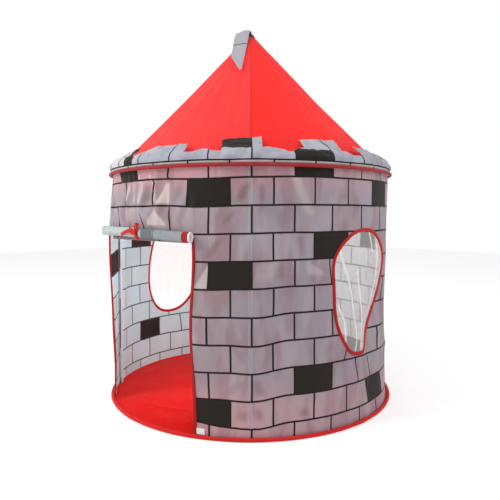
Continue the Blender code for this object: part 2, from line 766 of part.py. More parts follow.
def tab_point(across, down):
    """A point on the pointed tab that hangs from the peak and lies over the roof's front."""
    top = Vector((TAB_START + TAB_WIDTH * across, 0.0))
    if across < TAB_POINT_SHARE:
        bottom = TAB_INNER_FOOT.lerp(TAB_POINT, across / TAB_POINT_SHARE)
    else:
        bottom = TAB_POINT.lerp(TAB_OUTER_FOOT, (across - TAB_POINT_SHARE) / (1 - TAB_POINT_SHARE))
    sideways, along = top.lerp(bottom, down)
    cone_radius = max(along * math.cos(ROOF_SLOPE), TAB_DRAPE_RADIUS)
    drape = TAB_DRAPE * sideways**2 / cone_radius * math.sin(ROOF_SLOPE) * min(1.0, along / TAB_DRAPE_START)
    clear = (TAB_HEIGHT - ROOF_POINT_HEIGHT) * math.cos(ROOF_SLOPE)
    lift = TAB_REST + (clear - TAB_REST) * max(0.0, 1 - along / TAB_FALL) - drape
    along -= clear * math.tan(ROOF_SLOPE) * (1 - down)
    slope = TAB_FRONT * math.cos(ROOF_SLOPE) - UP * math.sin(ROOF_SLOPE)
    normal = TAB_FRONT * math.sin(ROOF_SLOPE) + UP * math.cos(ROOF_SLOPE)
    return UP * ROOF_POINT_HEIGHT + TAB_DIRECTION * sideways + slope * along + normal * lift


def add_tab():
    points = []
    for down in (1.0, 0.8, 0.6, 0.4, 0.2, 0.0):
        points.append([tab_point(across, down) for across in (1.0, 0.65, TAB_POINT_SHARE, 0.0)])
    return cloth("peak_tab", points, everywhere, GREY_PRINT)


def build_tent():
    for side in SIDES:
        wall = add_wall(side)
        if side in ("left", "right"):
            cut(wall, add_window_cutter(side))
            add_window_tape(side)
            add_window_net(side)
        add_gore(side)
    for corner in CORNERS:
        add_frame_corner(corner)
    add_hoop("base", HOOP_FLAT)
    add_hoop("eave", EAVE_HEIGHT)
    add_floor()
    add_hub()
    add_cap()
    add_band()
    add_tab()
    add_door_tapes()
    add_curtain()
    add_wound("door_roll", ROLL_LEFT, ROLL_RED_START - TOUCH, GREY_PRINT)
    add_wound("door_roll_hem", ROLL_RED_START, ROLL_WHITE_START - TOUCH, RED_TAPE)
    add_wound("door_roll_strip", ROLL_WHITE_START, ROLL_RIGHT, WHITE_TAPE)
    add_ribbon()
    add_jamb_tab("left", -1)
    add_jamb_tab("right", 1)
    print(f"least gap in the rolled flap: {least_winding_gap() * 1000:.2f} mm")


for old in list(bpy.data.objects):
    bpy.data.objects.remove(old, do_unlink=True)
build_tent()
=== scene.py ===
"""The looks of a round castle play tent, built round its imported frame.

Metres, +Z up, in the part's own frame: the doorway faces -Y, and the two windows face +X and -X.
"""

import math

import bpy
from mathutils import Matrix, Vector, noise


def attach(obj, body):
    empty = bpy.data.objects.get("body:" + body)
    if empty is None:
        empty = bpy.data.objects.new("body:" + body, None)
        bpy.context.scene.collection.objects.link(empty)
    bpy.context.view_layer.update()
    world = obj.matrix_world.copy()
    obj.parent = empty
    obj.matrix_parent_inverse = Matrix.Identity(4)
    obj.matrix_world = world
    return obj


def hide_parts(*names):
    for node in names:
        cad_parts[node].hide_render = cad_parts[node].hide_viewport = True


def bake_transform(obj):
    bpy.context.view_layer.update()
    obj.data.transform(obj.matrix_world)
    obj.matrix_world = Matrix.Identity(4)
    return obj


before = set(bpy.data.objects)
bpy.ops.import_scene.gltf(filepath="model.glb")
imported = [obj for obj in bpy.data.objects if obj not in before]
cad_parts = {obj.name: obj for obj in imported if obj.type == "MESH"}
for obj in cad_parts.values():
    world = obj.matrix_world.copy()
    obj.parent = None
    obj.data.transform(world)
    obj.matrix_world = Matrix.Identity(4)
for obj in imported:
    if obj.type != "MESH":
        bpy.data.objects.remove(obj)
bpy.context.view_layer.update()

# Sizes that the frame has too
WALL_RADIUS = 0.5105
WALL_FOOT = 0.0008
WALL_TOP = 0.8035
FOLD_DEPTH = 0.004
FOLD_REACH = math.radians(14)
QUARTER = math.radians(90)
SEAM_GAP = 0.00025
HOOP_RADIUS = 0.5186
BASE_HEIGHT = 0.0052
EAVE_HEIGHT = 0.800
TAPE_TUBE = 0.0060
ROOF_FOOT_RADIUS = 0.5100
ROOF_FOOT_HEIGHT = 0.8055
ROOF_POINT_HEIGHT = 1.345
ROOF_TOP_RADIUS = 0.012
GORE_SAG = 0.008
ROOF_SLOPE = math.atan2(ROOF_POINT_HEIGHT - ROOF_FOOT_HEIGHT, ROOF_FOOT_RADIUS)
DOOR_ANGLE = math.radians(-90)
DOOR_HALF_ANGLE = math.radians(26)
DOOR_TOP = 0.594
DOOR_LINE = WALL_RADIUS * math.cos(DOOR_HALF_ANGLE)
DOOR_HALF_WIDTH = WALL_RADIUS * math.sin(DOOR_HALF_ANGLE)
WINDOW_HEIGHT = 0.4165
WINDOW_HALF_WIDTH = 0.133
WINDOW_HALF_HEIGHT = 0.190
WINDOW_FULLNESS = 0.82
POLE_LINE_RADIUS = 0.5024
SLEEVE_RADIUS = 0.0068
SLEEVE_BORE = 0.0056
POLE_OFFSET = 0.0085
ELBOW_REACH = 0.028
HUB_REACH = 0.060
ROLL_LINE = 0.4762
ROLL_HEIGHT = 0.596
ROLL_HALF_HEIGHT = 0.0174
ROLL_DEPTH_SHARE = 0.56
ROLL_PITCH = 0.0031
ROLL_CLOTH = 0.0014
ROLL_TURNS = 4
ROLL_ENDS = (-0.262, 0.234)
ROLL_RED_START = 0.198
ROLL_WHITE_START = 0.228
RIBBON_X = -0.040
TAB_HEIGHT = 1.3585
UP = Vector((0.0, 0.0, 1.0))

# How thick the cloth is here. In the solids it is thicker.
WALL_CLOTH = 0.0007
ROOF_CLOTH = 0.0008
THICK_CLOTH = 0.0012

# Where the panels and the poles are round the tent, in degrees
SIDES = {"front": -90, "right": 0, "rear": 90, "left": 180}
CORNERS = {"front_right": -45, "rear_right": 45, "rear_left": 135, "front_left": -135}

# The print on the cloth
BRICK_WIDTH = 0.1256
BRICK_HEIGHT = 0.0806
FIRST_ROW_TOP = 0.0396
FIRST_JOINT = math.radians(0.5) * WALL_RADIUS
MORTAR = 0.0058


def srgb(red, green, blue):
    """A colour as it looks on screen, as the linear numbers that the shaders take."""
    return tuple((value / 255) ** 2.2 for value in (red, green, blue)) + (1.0,)


def polar(radius, angle, height):
    return Vector((radius * math.cos(angle), radius * math.sin(angle), height))


def turn_between(angle, other):
    return abs((angle - other + math.pi) % (2 * math.pi) - math.pi)


def ramp(low, high, value):
    """0 below low, 1 above high, and smooth in between. It runs the other way where low is the larger."""
    share = min(1.0, max(0.0, (value - low) / (high - low)))
    return share * share * (3 - 2 * share)


def bell(value, centre, width):
    return math.exp(-(((value - centre) / width) ** 2))


def waver(first, second, size, seed=0.0):
    """Smooth noise from about -1 to 1 over two measures in metres."""
    return noise.noise(Vector((first / size, second / size, seed * 7.31)))


def spread(first, last, count):
    """count values from first to last, both included."""
    return [first + (last - first) * step / (count - 1) for step in range(count)]


# Meshes


def make_piece(name, points, faces, uvs, materials, thickness=0.0, offset=-1.0):
    """A piece through the points that its faces use. A sheet is thick, and has its last material inside."""
    used = sorted({index for face in faces for index in face})
    place = {old: new for new, old in enumerate(used)}
    mesh = bpy.data.meshes.new(name)
    mesh.from_pydata([points[old] for old in used], [], [[place[index] for index in face] for face in faces])
    if uvs:
        layer = mesh.uv_layers.new(name="cloth")
        flat = []
        for loop in mesh.loops:
            flat.extend(uvs[used[loop.vertex_index]])
        layer.data.foreach_set("uv", flat)
    for material in materials:
        mesh.materials.append(material)
    mesh.validate()
    mesh.shade_smooth()
    obj = bpy.data.objects.new(name, mesh)
    bpy.context.scene.collection.objects.link(obj)
    if thickness:
        solidify = obj.modifiers.new("thickness", "SOLIDIFY")
        solidify.thickness = thickness
        solidify.offset = offset
        solidify.material_offset = len(materials) - 1
        solidify.material_offset_rim = 0
    return obj


def make_sheet(name, rows, columns, place, materials, kept=None, **settings):
    """A sheet over rows and columns. place gives a point and its measures on the flat cloth for each pair."""
    points, uvs = zip(*(place(column, row) for row in rows for column in columns))
    across = len(columns)
    faces = []
    for row in range(len(rows) - 1):
        for column in range(across - 1):
            if kept is None or kept(row, column):
                low = row * across + column
                faces.append((low, low + 1, low + across + 1, low + across))
    return make_piece(name, points, faces, uvs, materials, **settings)


def ring_faces(rings, count, closed=False):
    """Faces between neighbouring rings of count points."""
    faces = []
    for ring in range(rings if closed else rings - 1):
        first, second = ring * count, (ring + 1) % rings * count
        for step in range(count):
            beside = (step + 1) % count
            faces.append((first + step, second + step, second + beside, first + beside))
    return faces


def make_tube(name, rings, materials, closed, measures=None):
    """A body through equal rings of points. An open one is capped at both ends."""
    count = len(rings[0])
    points = [point for ring in rings for point in ring]
    faces = ring_faces(len(rings), count, closed)
    if not closed:
        faces.append(tuple(range(count)))
        faces.append(tuple(range(len(points) - 1, len(points) - count - 1, -1)))
    obj = make_piece(name, points, faces, measures, materials)
    if not closed:
        obj.data.set_sharp_from_angle(angle=math.radians(50))
    return obj


def turns_of(count):
    """The angles of count equal steps once round."""
    return [2 * math.pi * step / count for step in range(count)]


def dress(obj, body, slot, *nodes):
    """The piece moves with its body and stands for those nodes. slot is not used."""
    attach(obj, body)
    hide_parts(*nodes)
    return obj


# Materials


class Value:
    """A number that a node gives, in a form that takes plain sums."""

    def __init__(self, shading, socket):
        self.shading, self.socket = shading, socket

    def __add__(self, other):
        return self.shading.math("ADD", self, other)

    def __sub__(self, other):
        return self.shading.math("SUBTRACT", self, other)

    def __rsub__(self, other):
        return self.shading.math("SUBTRACT", other, self)

    def __mul__(self, other):
        return self.shading.math("MULTIPLY", self, other)

    def __truediv__(self, other):
        return self.shading.math("DIVIDE", self, other)

    def __abs__(self):
        return self.shading.math("ABSOLUTE", self)

    __radd__ = __add__
    __rmul__ = __mul__

    def larger(self, other):
        return self.shading.math("MAXIMUM", self, other)

    def smaller(self, other):
        return self.shading.math("MINIMUM", self, other)

    def below(self, low, high):
        """1 below low and 0 above high."""
        made = self.shading.node("MapRange", interpolation_type="SMOOTHSTEP")
        self.shading.put(made.inputs[0], self)
        for index, number in ((1, low), (2, high), (3, 1.0), (4, 0.0)):
            made.inputs[index].default_value = number
        return Value(self.shading, made.outputs[0])

    def between(self, low, high):
        """1 between low and high."""
        middle, half = (low + high) / 2, (high - low) / 2
        return abs(self - middle).below(half - 0.001, half + 0.001)

    def line_gap(self, size):
        """How far the nearest whole step is, where a step is that long."""
        share = self.shading.math("FRACT", self)
        return share.smaller(1.0 - share) * size


class Shading:
    """One material's nodes, built in a few words."""

    def __init__(self, name):
        self.material = bpy.data.materials.new(name)
        self.material.use_nodes = True
        self.tree = self.material.node_tree
        self.principled = self.tree.nodes["Principled BSDF"]
        self.output = self.tree.nodes["Material Output"]

    def node(self, kind, **settings):
        made = self.tree.nodes.new("ShaderNode" + kind)
        for key, value in settings.items():
            setattr(made, key, value)
        return made

    def put(self, socket, value):
        value = getattr(value, "socket", value)
        if isinstance(value, bpy.types.NodeSocket):
            self.tree.links.new(value, socket)
        else:
            socket.default_value = value

    def math(self, operation, *values):
        made = self.node("Math", operation=operation)
        for socket, value in zip(made.inputs, values):
            self.put(socket, value)
        return Value(self, made.outputs[0])

    def mix(self, share, first, second, blend="MIX"):
        made = self.node("Mix", data_type="RGBA", blend_type=blend)
        for index, value in ((0, share), (6, first), (7, second)):
            self.put(made.inputs[index], value)
        return made.outputs[2]

    def place(self):
        return self.node("TexCoord").outputs["Object"]

    def split(self, place):
        made = self.node("SeparateXYZ")
        self.put(made.inputs[0], place)
        return [Value(self, part) for part in made.outputs]

    def measures(self):
        """Along and up the cloth, in metres."""
        return self.split(self.node("UVMap", uv_map="cloth").outputs[0])[:2]

    def attribute(self, name):
        return Value(self, self.node("Attribute", attribute_name=name).outputs["Fac"])

    def noise(self, scale, detail=2.0, place=None):
        made = self.node("TexNoise")
        self.put(made.inputs["Vector"], place or self.place())
        made.inputs["Scale"].default_value = scale
        made.inputs["Detail"].default_value = detail
        return Value(self, made.outputs[0])

    def wandering(self, measure, scale, reach):
        """A measure that strays a little, as print on slack cloth does."""
        return measure + (self.noise(scale, 1) - 0.5) * reach

    def relief(self, *layers):
        """A bumped normal: each layer is a height, its strength and its depth."""
        normal = None
        for height, strength, depth in layers:
            made = self.node("Bump")
            made.inputs["Strength"].default_value = strength
            made.inputs["Distance"].default_value = depth
            self.put(made.inputs["Height"], height)
            if normal is not None:
                self.put(made.inputs["Normal"], normal)
            normal = made.outputs[0]
        return normal

    def set(self, **values):
        for key, value in values.items():
            self.put(self.principled.inputs[key.replace("_", " ").title()], value)

    def shine(self, sheen, specular):
        self.principled.inputs["Sheen Weight"].default_value = sheen
        self.principled.inputs["Specular IOR Level"].default_value = specular

    def woven(self, colour, through, roughness=0.78, crumple=0.5, gloss=0.3):
        """Thin cloth: some light passes through it, and it has a fine weave and soft creases."""
        normal = self.relief((self.noise(1400, 1.0), 0.25, 0.0003), (self.noise(34, 3.0), crumple, 0.0035))
        self.set(base_color=colour, roughness=roughness, normal=normal)
        self.shine(gloss * 0.4, gloss)
        translucent = self.node("BsdfTranslucent")
        self.put(translucent.inputs["Color"], colour)
        self.put(translucent.inputs["Normal"], normal)
        mixed = self.node("MixShader")
        mixed.inputs[0].default_value = through
        self.put(mixed.inputs[1], self.principled.outputs[0])
        self.put(mixed.inputs[2], translucent.outputs[0])
        self.put(self.output.inputs["Surface"], mixed.outputs[0])
        return self.material


def wall_rows(shading, height):
    """The print's row at a height, and how far the next line between rows is."""
    steps = (height - FIRST_ROW_TOP) / BRICK_HEIGHT
    return shading.math("FLOOR", steps) + 1.0, steps.line_gap(BRICK_HEIGHT)


LOWEST_BAND_ROW = 21.0
BAND_ROW_LINE = 0.0085
BAND_FOLD = 0.050


def band_rows(shading, height):
    """The band's print shows one line between rows. The next one is tucked into the merlons' fold."""
    row = LOWEST_BAND_ROW
    for line, jump in ((BAND_ROW_LINE, 1.0), (BAND_FOLD, 2.0)):
        row = shading.math("GREATER_THAN", height, line) * jump + row
    return row, abs(height - BAND_ROW_LINE)


# The dark bricks of the print: row, column
DARK_BRICKS = (
    (10, 1), (10, -4), (10, 6), (10, 11), (10, 17),
    (9, -2), (9, 3), (9, 9), (9, 14), (9, 19),
    (7, 1), (7, 7), (7, 12), (7, 17), (7, 15),
    (6, -1), (6, 5), (6, -6), (6, -7), (6, 10),
    (4, 6), (4, 14), (1, 8),
    (2, 1), (2, 5), (2, 12), (2, 17), (2, 14),
    (1, -2), (1, 3), (1, 11),
    (22, 1), (22, 7), (22, -10), (22, 11), (24, -1), (24, -7), (24, 5), (24, 10),
)  # fmt: skip
CURTAIN_DARK_BRICKS = ((5, 0), (2, -1))

# Each brick has one number: its row times this, and its column added
ROW_NUMBERS = 64.0

# A mortar line is full up to the first share of its width from its middle, and gone at the second
LINE_CORE = 0.35
LINE_RIM = 0.65

# A brick is up to so much lighter than another
LIGHTER = (1.12, 1.12, 1.12, 1.0)


def brick_masks(shading, along, rows, first_joint, dark_bricks, line_width):
    """Masks of the mortar and the dark bricks, and each brick's number."""
    row, row_gap = rows
    odd = shading.math("MODULO", row + 100.0, 2.0)
    steps = (along - (odd * (BRICK_WIDTH / 2) + first_joint)) / BRICK_WIDTH
    number = row * ROW_NUMBERS + shading.math("FLOOR", steps)
    gap = steps.line_gap(BRICK_WIDTH).smaller(row_gap)
    dark = None
    for level, column in dark_bricks:
        chosen = shading.math("COMPARE", number, level * ROW_NUMBERS + column, 0.4)
        dark = dark.larger(chosen) if dark else chosen
    return gap.below(line_width * LINE_CORE, line_width * LINE_RIM), dark, number


def stained(shading, colour, stain):
    return shading.mix(shading.noise(5.5, 3.0).below(0.40, 0.62) * 0.75, colour, stain)


def print_material(name, colours, rows, through, line_width=MORTAR, tones=None):
    """The block print. colours are brick, its warmer stain, dark brick and mortar."""
    shading = Shading(name)
    brick, stain, black, line = colours
    along, up = shading.measures()
    along, up = shading.wandering(along, 9, 0.005), shading.wandering(up, 8, 0.004)
    lines = rows(shading, up)
    mortar, dark, number = brick_masks(shading, along, lines, FIRST_JOINT, DARK_BRICKS, line_width)
    tone = shading.node("TexWhiteNoise", noise_dimensions="1D")
    shading.put(tone.inputs["W"], number)
    base = stained(shading, brick, stain)
    lighter = shading.mix(1.0, base, LIGHTER, "MULTIPLY")
    base = shading.mix(tone.outputs[0], base, lighter)
    if tones:
        base = tones(shading, base)
    if rows is band_rows:
        dark = dark.larger(half_brick(shading))
    base = shading.mix(dark, base, black)
    return shading.woven(shading.mix(mortar, base, line), through, crumple=0.35)


# The wall's streaks, drawn out upward: noise scale, its limits, strength and colour
STREAK_STRETCH = (1.0, 1.0, 0.30)
STREAKS = ((15.0, 0.40, 0.56, 0.42, srgb(158, 120, 126)), (19.0, 0.38, 0.50, 0.35, srgb(198, 190, 194)))


def wall_tones_and_painted_light(shading, base):
    """Painted light: lighter and pinker by the hoops, cooler on the right, a highlight by the front right
    pole, light and shade in the creases; streaked at random.
    """
    x, z = shading.split(shading.place())[::2]
    # Painted light: lighter and pinker by the hoops at the top and at the foot, against the shade there.
    painted_light_by_hoops = z.below(0.06, 0.20).larger(1.0 - z.below(0.70, 0.79))
    base = shading.mix(painted_light_by_hoops * 0.70, base, srgb(232, 172, 178))
    # Painted light: cooler and bluer on the right, where the cloth faces away from the key lamp.
    base = shading.mix((1.0 - x.below(0.30, 0.50)) * 0.45, base, srgb(174, 172, 186))
    drawn = shading.node("VectorMath", operation="MULTIPLY")
    shading.put(drawn.inputs[0], shading.place())
    drawn.inputs[1].default_value = STREAK_STRETCH
    for scale, low, high, strength, colour in STREAKS:
        streaks = shading.noise(scale, 2.0, drawn.outputs[0]).below(low, high)
        base = shading.mix(streaks * strength, base, colour)
    # Painted highlight: a pale blue line where the cloth wraps over the front right pole.
    pole_highlight = abs(shading.measures()[0]).below(0.003, 0.008)
    base = shading.mix(pole_highlight * 0.40, base, srgb(196, 206, 214))
    # Painted highlight and painted shade on the creases, with a soft noisy tone round the back.
    crease_light_and_tone = shading.attribute("tone")
    base = shading.mix(crease_light_and_tone.larger(0.0), base, srgb(236, 228, 222))
    return shading.mix((crease_light_and_tone * -1.0).larger(0.0), base, srgb(112, 76, 84))


def half_brick(shading):
    """The end of a dark brick that shows beside a fold, left of the door."""
    along, up = shading.measures()
    return (1.0 - up.below(0.0085, 0.0100)) * along.between(-0.4633, -0.4085)


def band_tones(shading, base):
    """The band is crumpled and pale, palest beside the half brick and in its lowest strip."""
    along, up = shading.measures()
    streaks = shading.noise(26.0, 3.0).below(0.38, 0.54)
    base = shading.mix(streaks * 0.40, base, srgb(158, 160, 172))
    pale = along.between(-0.600, -0.4640).larger(up.below(0.008, 0.010))
    return shading.mix(pale * 0.75, base, srgb(232, 238, 236))


def plain_cloth(name, colour, deep, through, crumple=0.5, gloss=0.3):
    """Dyed cloth with a slightly uneven colour."""
    shading = Shading(name)
    base = shading.mix(shading.noise(6.0, 3.0), colour, deep)
    return shading.woven(base, through, roughness=0.7, crumple=crumple, gloss=gloss)


# Tape: pitch of its ribs and stitches, and how far across the stitches run
TAPE_RIB = 0.0016
STITCH_PITCH = 0.006
STITCH_LINE = 0.0052


def tape_material(name, colour, deep):
    """Woven tape: ribs across it and a line of stitches along each edge."""
    shading = Shading(name)
    along, across = shading.measures()
    ribs = shading.math("SINE", along * (2 * math.pi / TAPE_RIB))
    dash = abs(shading.math("FRACT", along / STITCH_PITCH) - 0.5).below(0.28, 0.36)
    stitch = dash * abs(across - STITCH_LINE).below(0.0004, 0.0008)
    base = shading.mix(shading.noise(30.0, 2.0), colour, deep)
    base = shading.mix(stitch * 0.35, base, srgb(120, 20, 20))
    creases = (ribs, 0.25, 0.0003), (stitch, 0.6, 0.0004), (shading.noise(60, 2.0), 0.4, 0.0015)
    shading.set(base_color=base, roughness=0.6, normal=shading.relief(*creases))
    shading.shine(0.03, 0.2)
    return shading.material


def plain_material(name, colour, roughness, metallic=0.0, grain=0.0):
    shading = Shading(name)
    shading.set(base_color=colour, roughness=roughness, metallic=metallic)
    if grain:
        shading.set(normal=shading.relief((shading.noise(400, 2.0), grain, 0.0005)))
    return shading.material


# The mesh: its pitch, the least share of cover, and what threads and folds add to it
NET_THREADS = 0.0022
NET_COVER = 0.24
WEAVE_COVER = 0.08
FOLD_COVER = 0.60


def net_material():
    """Fine white mesh. Its cells are too small to model, so they are a share of cover, fuller in a fold."""
    shading = Shading("net")
    waves = [shading.math("SINE", measure * (2 * math.pi / NET_THREADS)) for measure in shading.measures()]
    threads = [wave * 0.5 + 0.5 for wave in waves]
    cover = threads[0].larger(threads[1]) * WEAVE_COVER + NET_COVER + shading.attribute("fold") * FOLD_COVER
    shading.set(base_color=srgb(248, 246, 243), roughness=0.8, alpha=cover.smaller(1.0))
    shading.principled.inputs["Sheen Weight"].default_value = 0.2
    return shading.material


def sleeve_material():
    """Pale cloth sewn round the pole, with a dark binding that shows along one side here and there."""
    shading = Shading("sleeve_cloth")
    along, across = shading.measures()
    half = math.pi * SLEEVE_RADIUS
    stripe = (half - abs(across - half)).below(0.0026, 0.0036)
    shown = shading.math("SINE", along * (2 * math.pi / 0.31)).below(0.30, 0.45)
    base = shading.mix(stripe * shown, srgb(212, 214, 218), srgb(44, 44, 50))
    return shading.woven(base, 0.2, crumple=0.3)


# How far down the peak tab its printed line is
TAB_LINE = 0.088


def tab_material():
    """Plain grey cloth with one printed line across."""
    shading = Shading("tab_print")
    line = abs(shading.measures()[1] - TAB_LINE).below(0.0014, 0.0034)
    base = shading.mix(shading.noise(14.0, 2.0), srgb(190, 188, 196), srgb(172, 170, 180))
    return shading.woven(shading.mix(line, base, srgb(70, 66, 74)), 0.2, crumple=0.3)


def roll_material():
    """The flap's cloth as its turns show it: a pale length, a dark brick and a greyer length."""
    shading = Shading("roll_print")
    along = shading.wandering(shading.measures()[0], 30, 0.010)
    base = shading.mix(1.0 - along.below(0.046, 0.056), srgb(198, 209, 208), srgb(152, 161, 167))
    dark = along.below(0.046, 0.052) * (1.0 - along.below(-0.022, -0.012))
    base = shading.mix(dark, base, srgb(108, 116, 119))
    seam = abs(along - 0.052).below(0.0012, 0.0028)
    base = shading.mix(seam, base, srgb(70, 72, 78))
    streaks = shading.noise(70.0, 2.0).below(0.38, 0.52)
    base = shading.mix(streaks * 0.25, base, srgb(120, 128, 134))
    return shading.woven(base, 0.12, crumple=0.5)


def curtain_material():
    """The block print by its place on the tent, so that the blocks keep their size wherever the cloth lies.
    """
    shading = Shading("curtain_print")
    along, up = shading.split(shading.place())[::2]
    mortar, dark = brick_masks(shading, along, wall_rows(shading, up), 0.0, CURTAIN_DARK_BRICKS, MORTAR)[:2]
    base = shading.mix(dark, stained(shading, INK[0], INK[1]), INK[2])
    return shading.woven(shading.mix(mortar, base, INK[3]), 0.3, crumple=0.35)


# Each print's brick, stain, dark brick and mortar
INK = (srgb(176, 165, 172), srgb(166, 148, 157), srgb(42, 37, 31), srgb(38, 26, 30))
INK_INSIDE = (srgb(222, 246, 248), srgb(212, 238, 243), srgb(62, 54, 50), srgb(80, 88, 92))
INK_BAND = (srgb(196, 199, 210), srgb(184, 187, 199)) + INK[2:]

wall_outside = print_material("wall_print", INK, wall_rows, 0.30, tones=wall_tones_and_painted_light)
wall_inside = print_material("wall_print_inside", INK_INSIDE, wall_rows, 0.50, MORTAR * 0.80)
band_print = print_material("band_print", INK_BAND, band_rows, 0.3, MORTAR * 0.80, band_tones)
band_inside = print_material("band_print_inside", INK_INSIDE, band_rows, 0.5)
curtain_print = curtain_material()
roll_print = roll_material()
tab_print = tab_material()
roof_outside = plain_cloth("roof_red", srgb(255, 54, 48), srgb(248, 44, 40), 0.40, crumple=0.35)
# Painted light: a lighter, pinker copy of the roof's red for the front gore, where the key lamp's light and
# sheen fall.
roof_outside_front_lit = plain_cloth("roof_red_front_lit", srgb(255, 76, 74), srgb(250, 64, 62), 0.40, crumple=0.4)
roof_inside = plain_cloth("roof_red_inside", srgb(240, 70, 62), srgb(230, 60, 54), 0.5)
floor_red = plain_cloth("floor_red", srgb(222, 22, 15), srgb(204, 12, 8), 0.05, crumple=0.9, gloss=0.12)
tape_red = tape_material("tape_red", srgb(216, 38, 34), srgb(196, 30, 30))
# Painted shade: a darker, duller copy of the red tape for the eave hoop.
eave_tape_shaded = tape_material("eave_tape_shaded", srgb(176, 50, 52), srgb(150, 38, 42))
edge_red = tape_material("edge_red", srgb(196, 36, 36), srgb(172, 28, 30))
jamb_red = tape_material("jamb_red", srgb(166, 24, 26), srgb(142, 18, 22))
bow_red = plain_cloth("bow_red", srgb(226, 48, 42), srgb(206, 36, 34), 0.2, crumple=0.3)
white_loop = plain_material("white_loop", srgb(240, 240, 238), 0.95, grain=0.8)
black_cloth = plain_material("black_cloth", srgb(30, 28, 30), 0.8, grain=0.4)
sleeve_cloth = sleeve_material()
spring_steel = plain_material("spring_steel", srgb(190, 192, 195), 0.3, metallic=1.0)
fibreglass = plain_material("fibreglass", srgb(215, 214, 205), 0.35)
moulding = plain_material("moulding", srgb(38, 38, 40), 0.45, grain=0.15)
net = net_material()


# Wall cloth

PANEL_EDGE = (QUARTER / 2) * WALL_RADIUS - SEAM_GAP
JAMB = DOOR_HALF_ANGLE * WALL_RADIUS

# Soft creases left by folding: panel, then along and up at each end in metres, and depth
CREASES = (
    ("front", -0.30, 0.78, -0.17, 0.63, 0.0030),
    ("front", -0.14, 0.79, -0.19, 0.63, -0.0028),
    ("front", -0.06, 0.78, 0.02, 0.64, 0.0024),
    ("front", 0.02, 0.77, 0.16, 0.66, -0.0022),
    ("front", 0.25, 0.58, 0.37, 0.22, -0.0022),
    ("front", 0.27, 0.30, 0.38, 0.08, 0.0022),
    ("right", -0.38, 0.70, -0.20, 0.60, 0.0022),
    ("right", -0.36, 0.18, -0.16, 0.10, 0.0024),
    ("right", -0.02, 0.20, 0.10, 0.03, -0.0026),
    ("right", 0.12, 0.30, 0.33, 0.16, 0.0030),
    ("right", 0.15, 0.55, 0.36, 0.62, -0.0022),
    ("rear", -0.33, 0.70, 0.10, 0.30, 0.0024),
    ("rear", 0.05, 0.72, 0.34, 0.42, -0.0024),
    ("rear", -0.35, 0.34, -0.05, 0.08, 0.0028),
    ("rear", 0.02, 0.28, 0.36, 0.12, 0.0022),
    ("left", -0.36, 0.60, -0.18, 0.50, -0.0024),
    ("left", -0.30, 0.14, -0.04, 0.18, 0.0030),
    ("left", 0.08, 0.17, 0.34, 0.05, 0.0026),
    ("left", 0.17, 0.52, 0.36, 0.70, 0.0022),
)

# Where the cloth has slid sideways: panel, how far, middle and width along, middle up, width below and above
SLIDES = (
    ("right", -0.100, 0.13, 0.105, 0.28, 0.20, 0.125),
    ("right", 0.006, -0.10, 0.08, 0.24, 0.08, 0.08),
    ("right", -0.014, -0.115, 0.05, 0.52, 0.06, 0.06),
    ("right", -0.020, -0.06, 0.05, 0.205, 0.04, 0.04),
    ("left", 0.014, -0.06, 0.10, 0.24, 0.08, 0.08),
    ("left", -0.010, 0.12, 0.08, 0.52, 0.08, 0.08),
    ("front", -0.007, JAMB, 0.05, 0.60, 0.07, 0.07),
    ("front", 0.005, -JAMB, 0.06, 0.22, 0.12, 0.12),
)

# Bulges and hollows, in the same terms
BULGES = (
    ("right", 0.006, 0.13, 0.05, 0.53, 0.06, 0.06),
    ("right", -0.010, 0.12, 0.045, 0.33, 0.11, 0.11),
    ("right", 0.007, 0.19, 0.035, 0.31, 0.11, 0.11),
    ("right", -0.010, 0.285, 0.075, 0.38, 0.26, 0.26),
    ("right", -0.006, 0.10, 0.05, 0.12, 0.06, 0.06),
)


def swell(row, side, along, up):
    """How far one row of SLIDES or BULGES moves a point."""
    panel, reach, middle, width, level, below, above = row
    if panel != side:
        return 0.0
    return reach * bell(along, middle, width) * bell(up, level, above if up > level else below)


def crease_depth(side, along, up):
    total = 0.0
    for panel, start, low, end, high, depth in CREASES:
        if panel != side:
            continue
        run, rise = end - start, high - low
        length = math.hypot(run, rise)
        share = ((along - start) * run + (up - low) * rise) / length**2
        if -0.2 < share < 1.2:
            away = abs((along - start) * rise - (up - low) * run) / length
            ends = ramp(-0.2, 0.25, share) * ramp(1.2, 0.75, share)
            total += depth * ends * (0.6 * math.exp(-away / 0.008) + 0.4 * bell(away, 0.0, 0.03))
    return total


def pulled(side, along, up):
    """Where the cloth has slid sideways in its own surface, such as beside a slack window."""
    if side == "front":
        along -= 0.014 * bell(along, JAMB, 0.06) * bell(up, 0.33, 0.15) * ramp(0.60, 0.50, up)
    for row in SLIDES:
        along += swell(row, side, along, up)
    return along


def frame_radius(angle, up):
    """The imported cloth: it bows in beside each pole, and over the door it is pulled straight."""
    radius = WALL_RADIUS
    beside_pole = min(turn_between(angle, math.radians(corner)) for corner in CORNERS.values())
    if beside_pole < FOLD_REACH:
        bow = math.sin(math.pi * beside_pole / FOLD_REACH) ** 2
        radius -= FOLD_DEPTH * bow * math.sin(math.pi * up / WALL_TOP)
    from_door = turn_between(angle, DOOR_ANGLE)
    if from_door < DOOR_HALF_ANGLE:
        pull = min(1.0, (WALL_TOP - up) / (WALL_TOP - DOOR_TOP))
        radius += (DOOR_LINE / math.cos(from_door) - WALL_RADIUS) * pull
    return radius


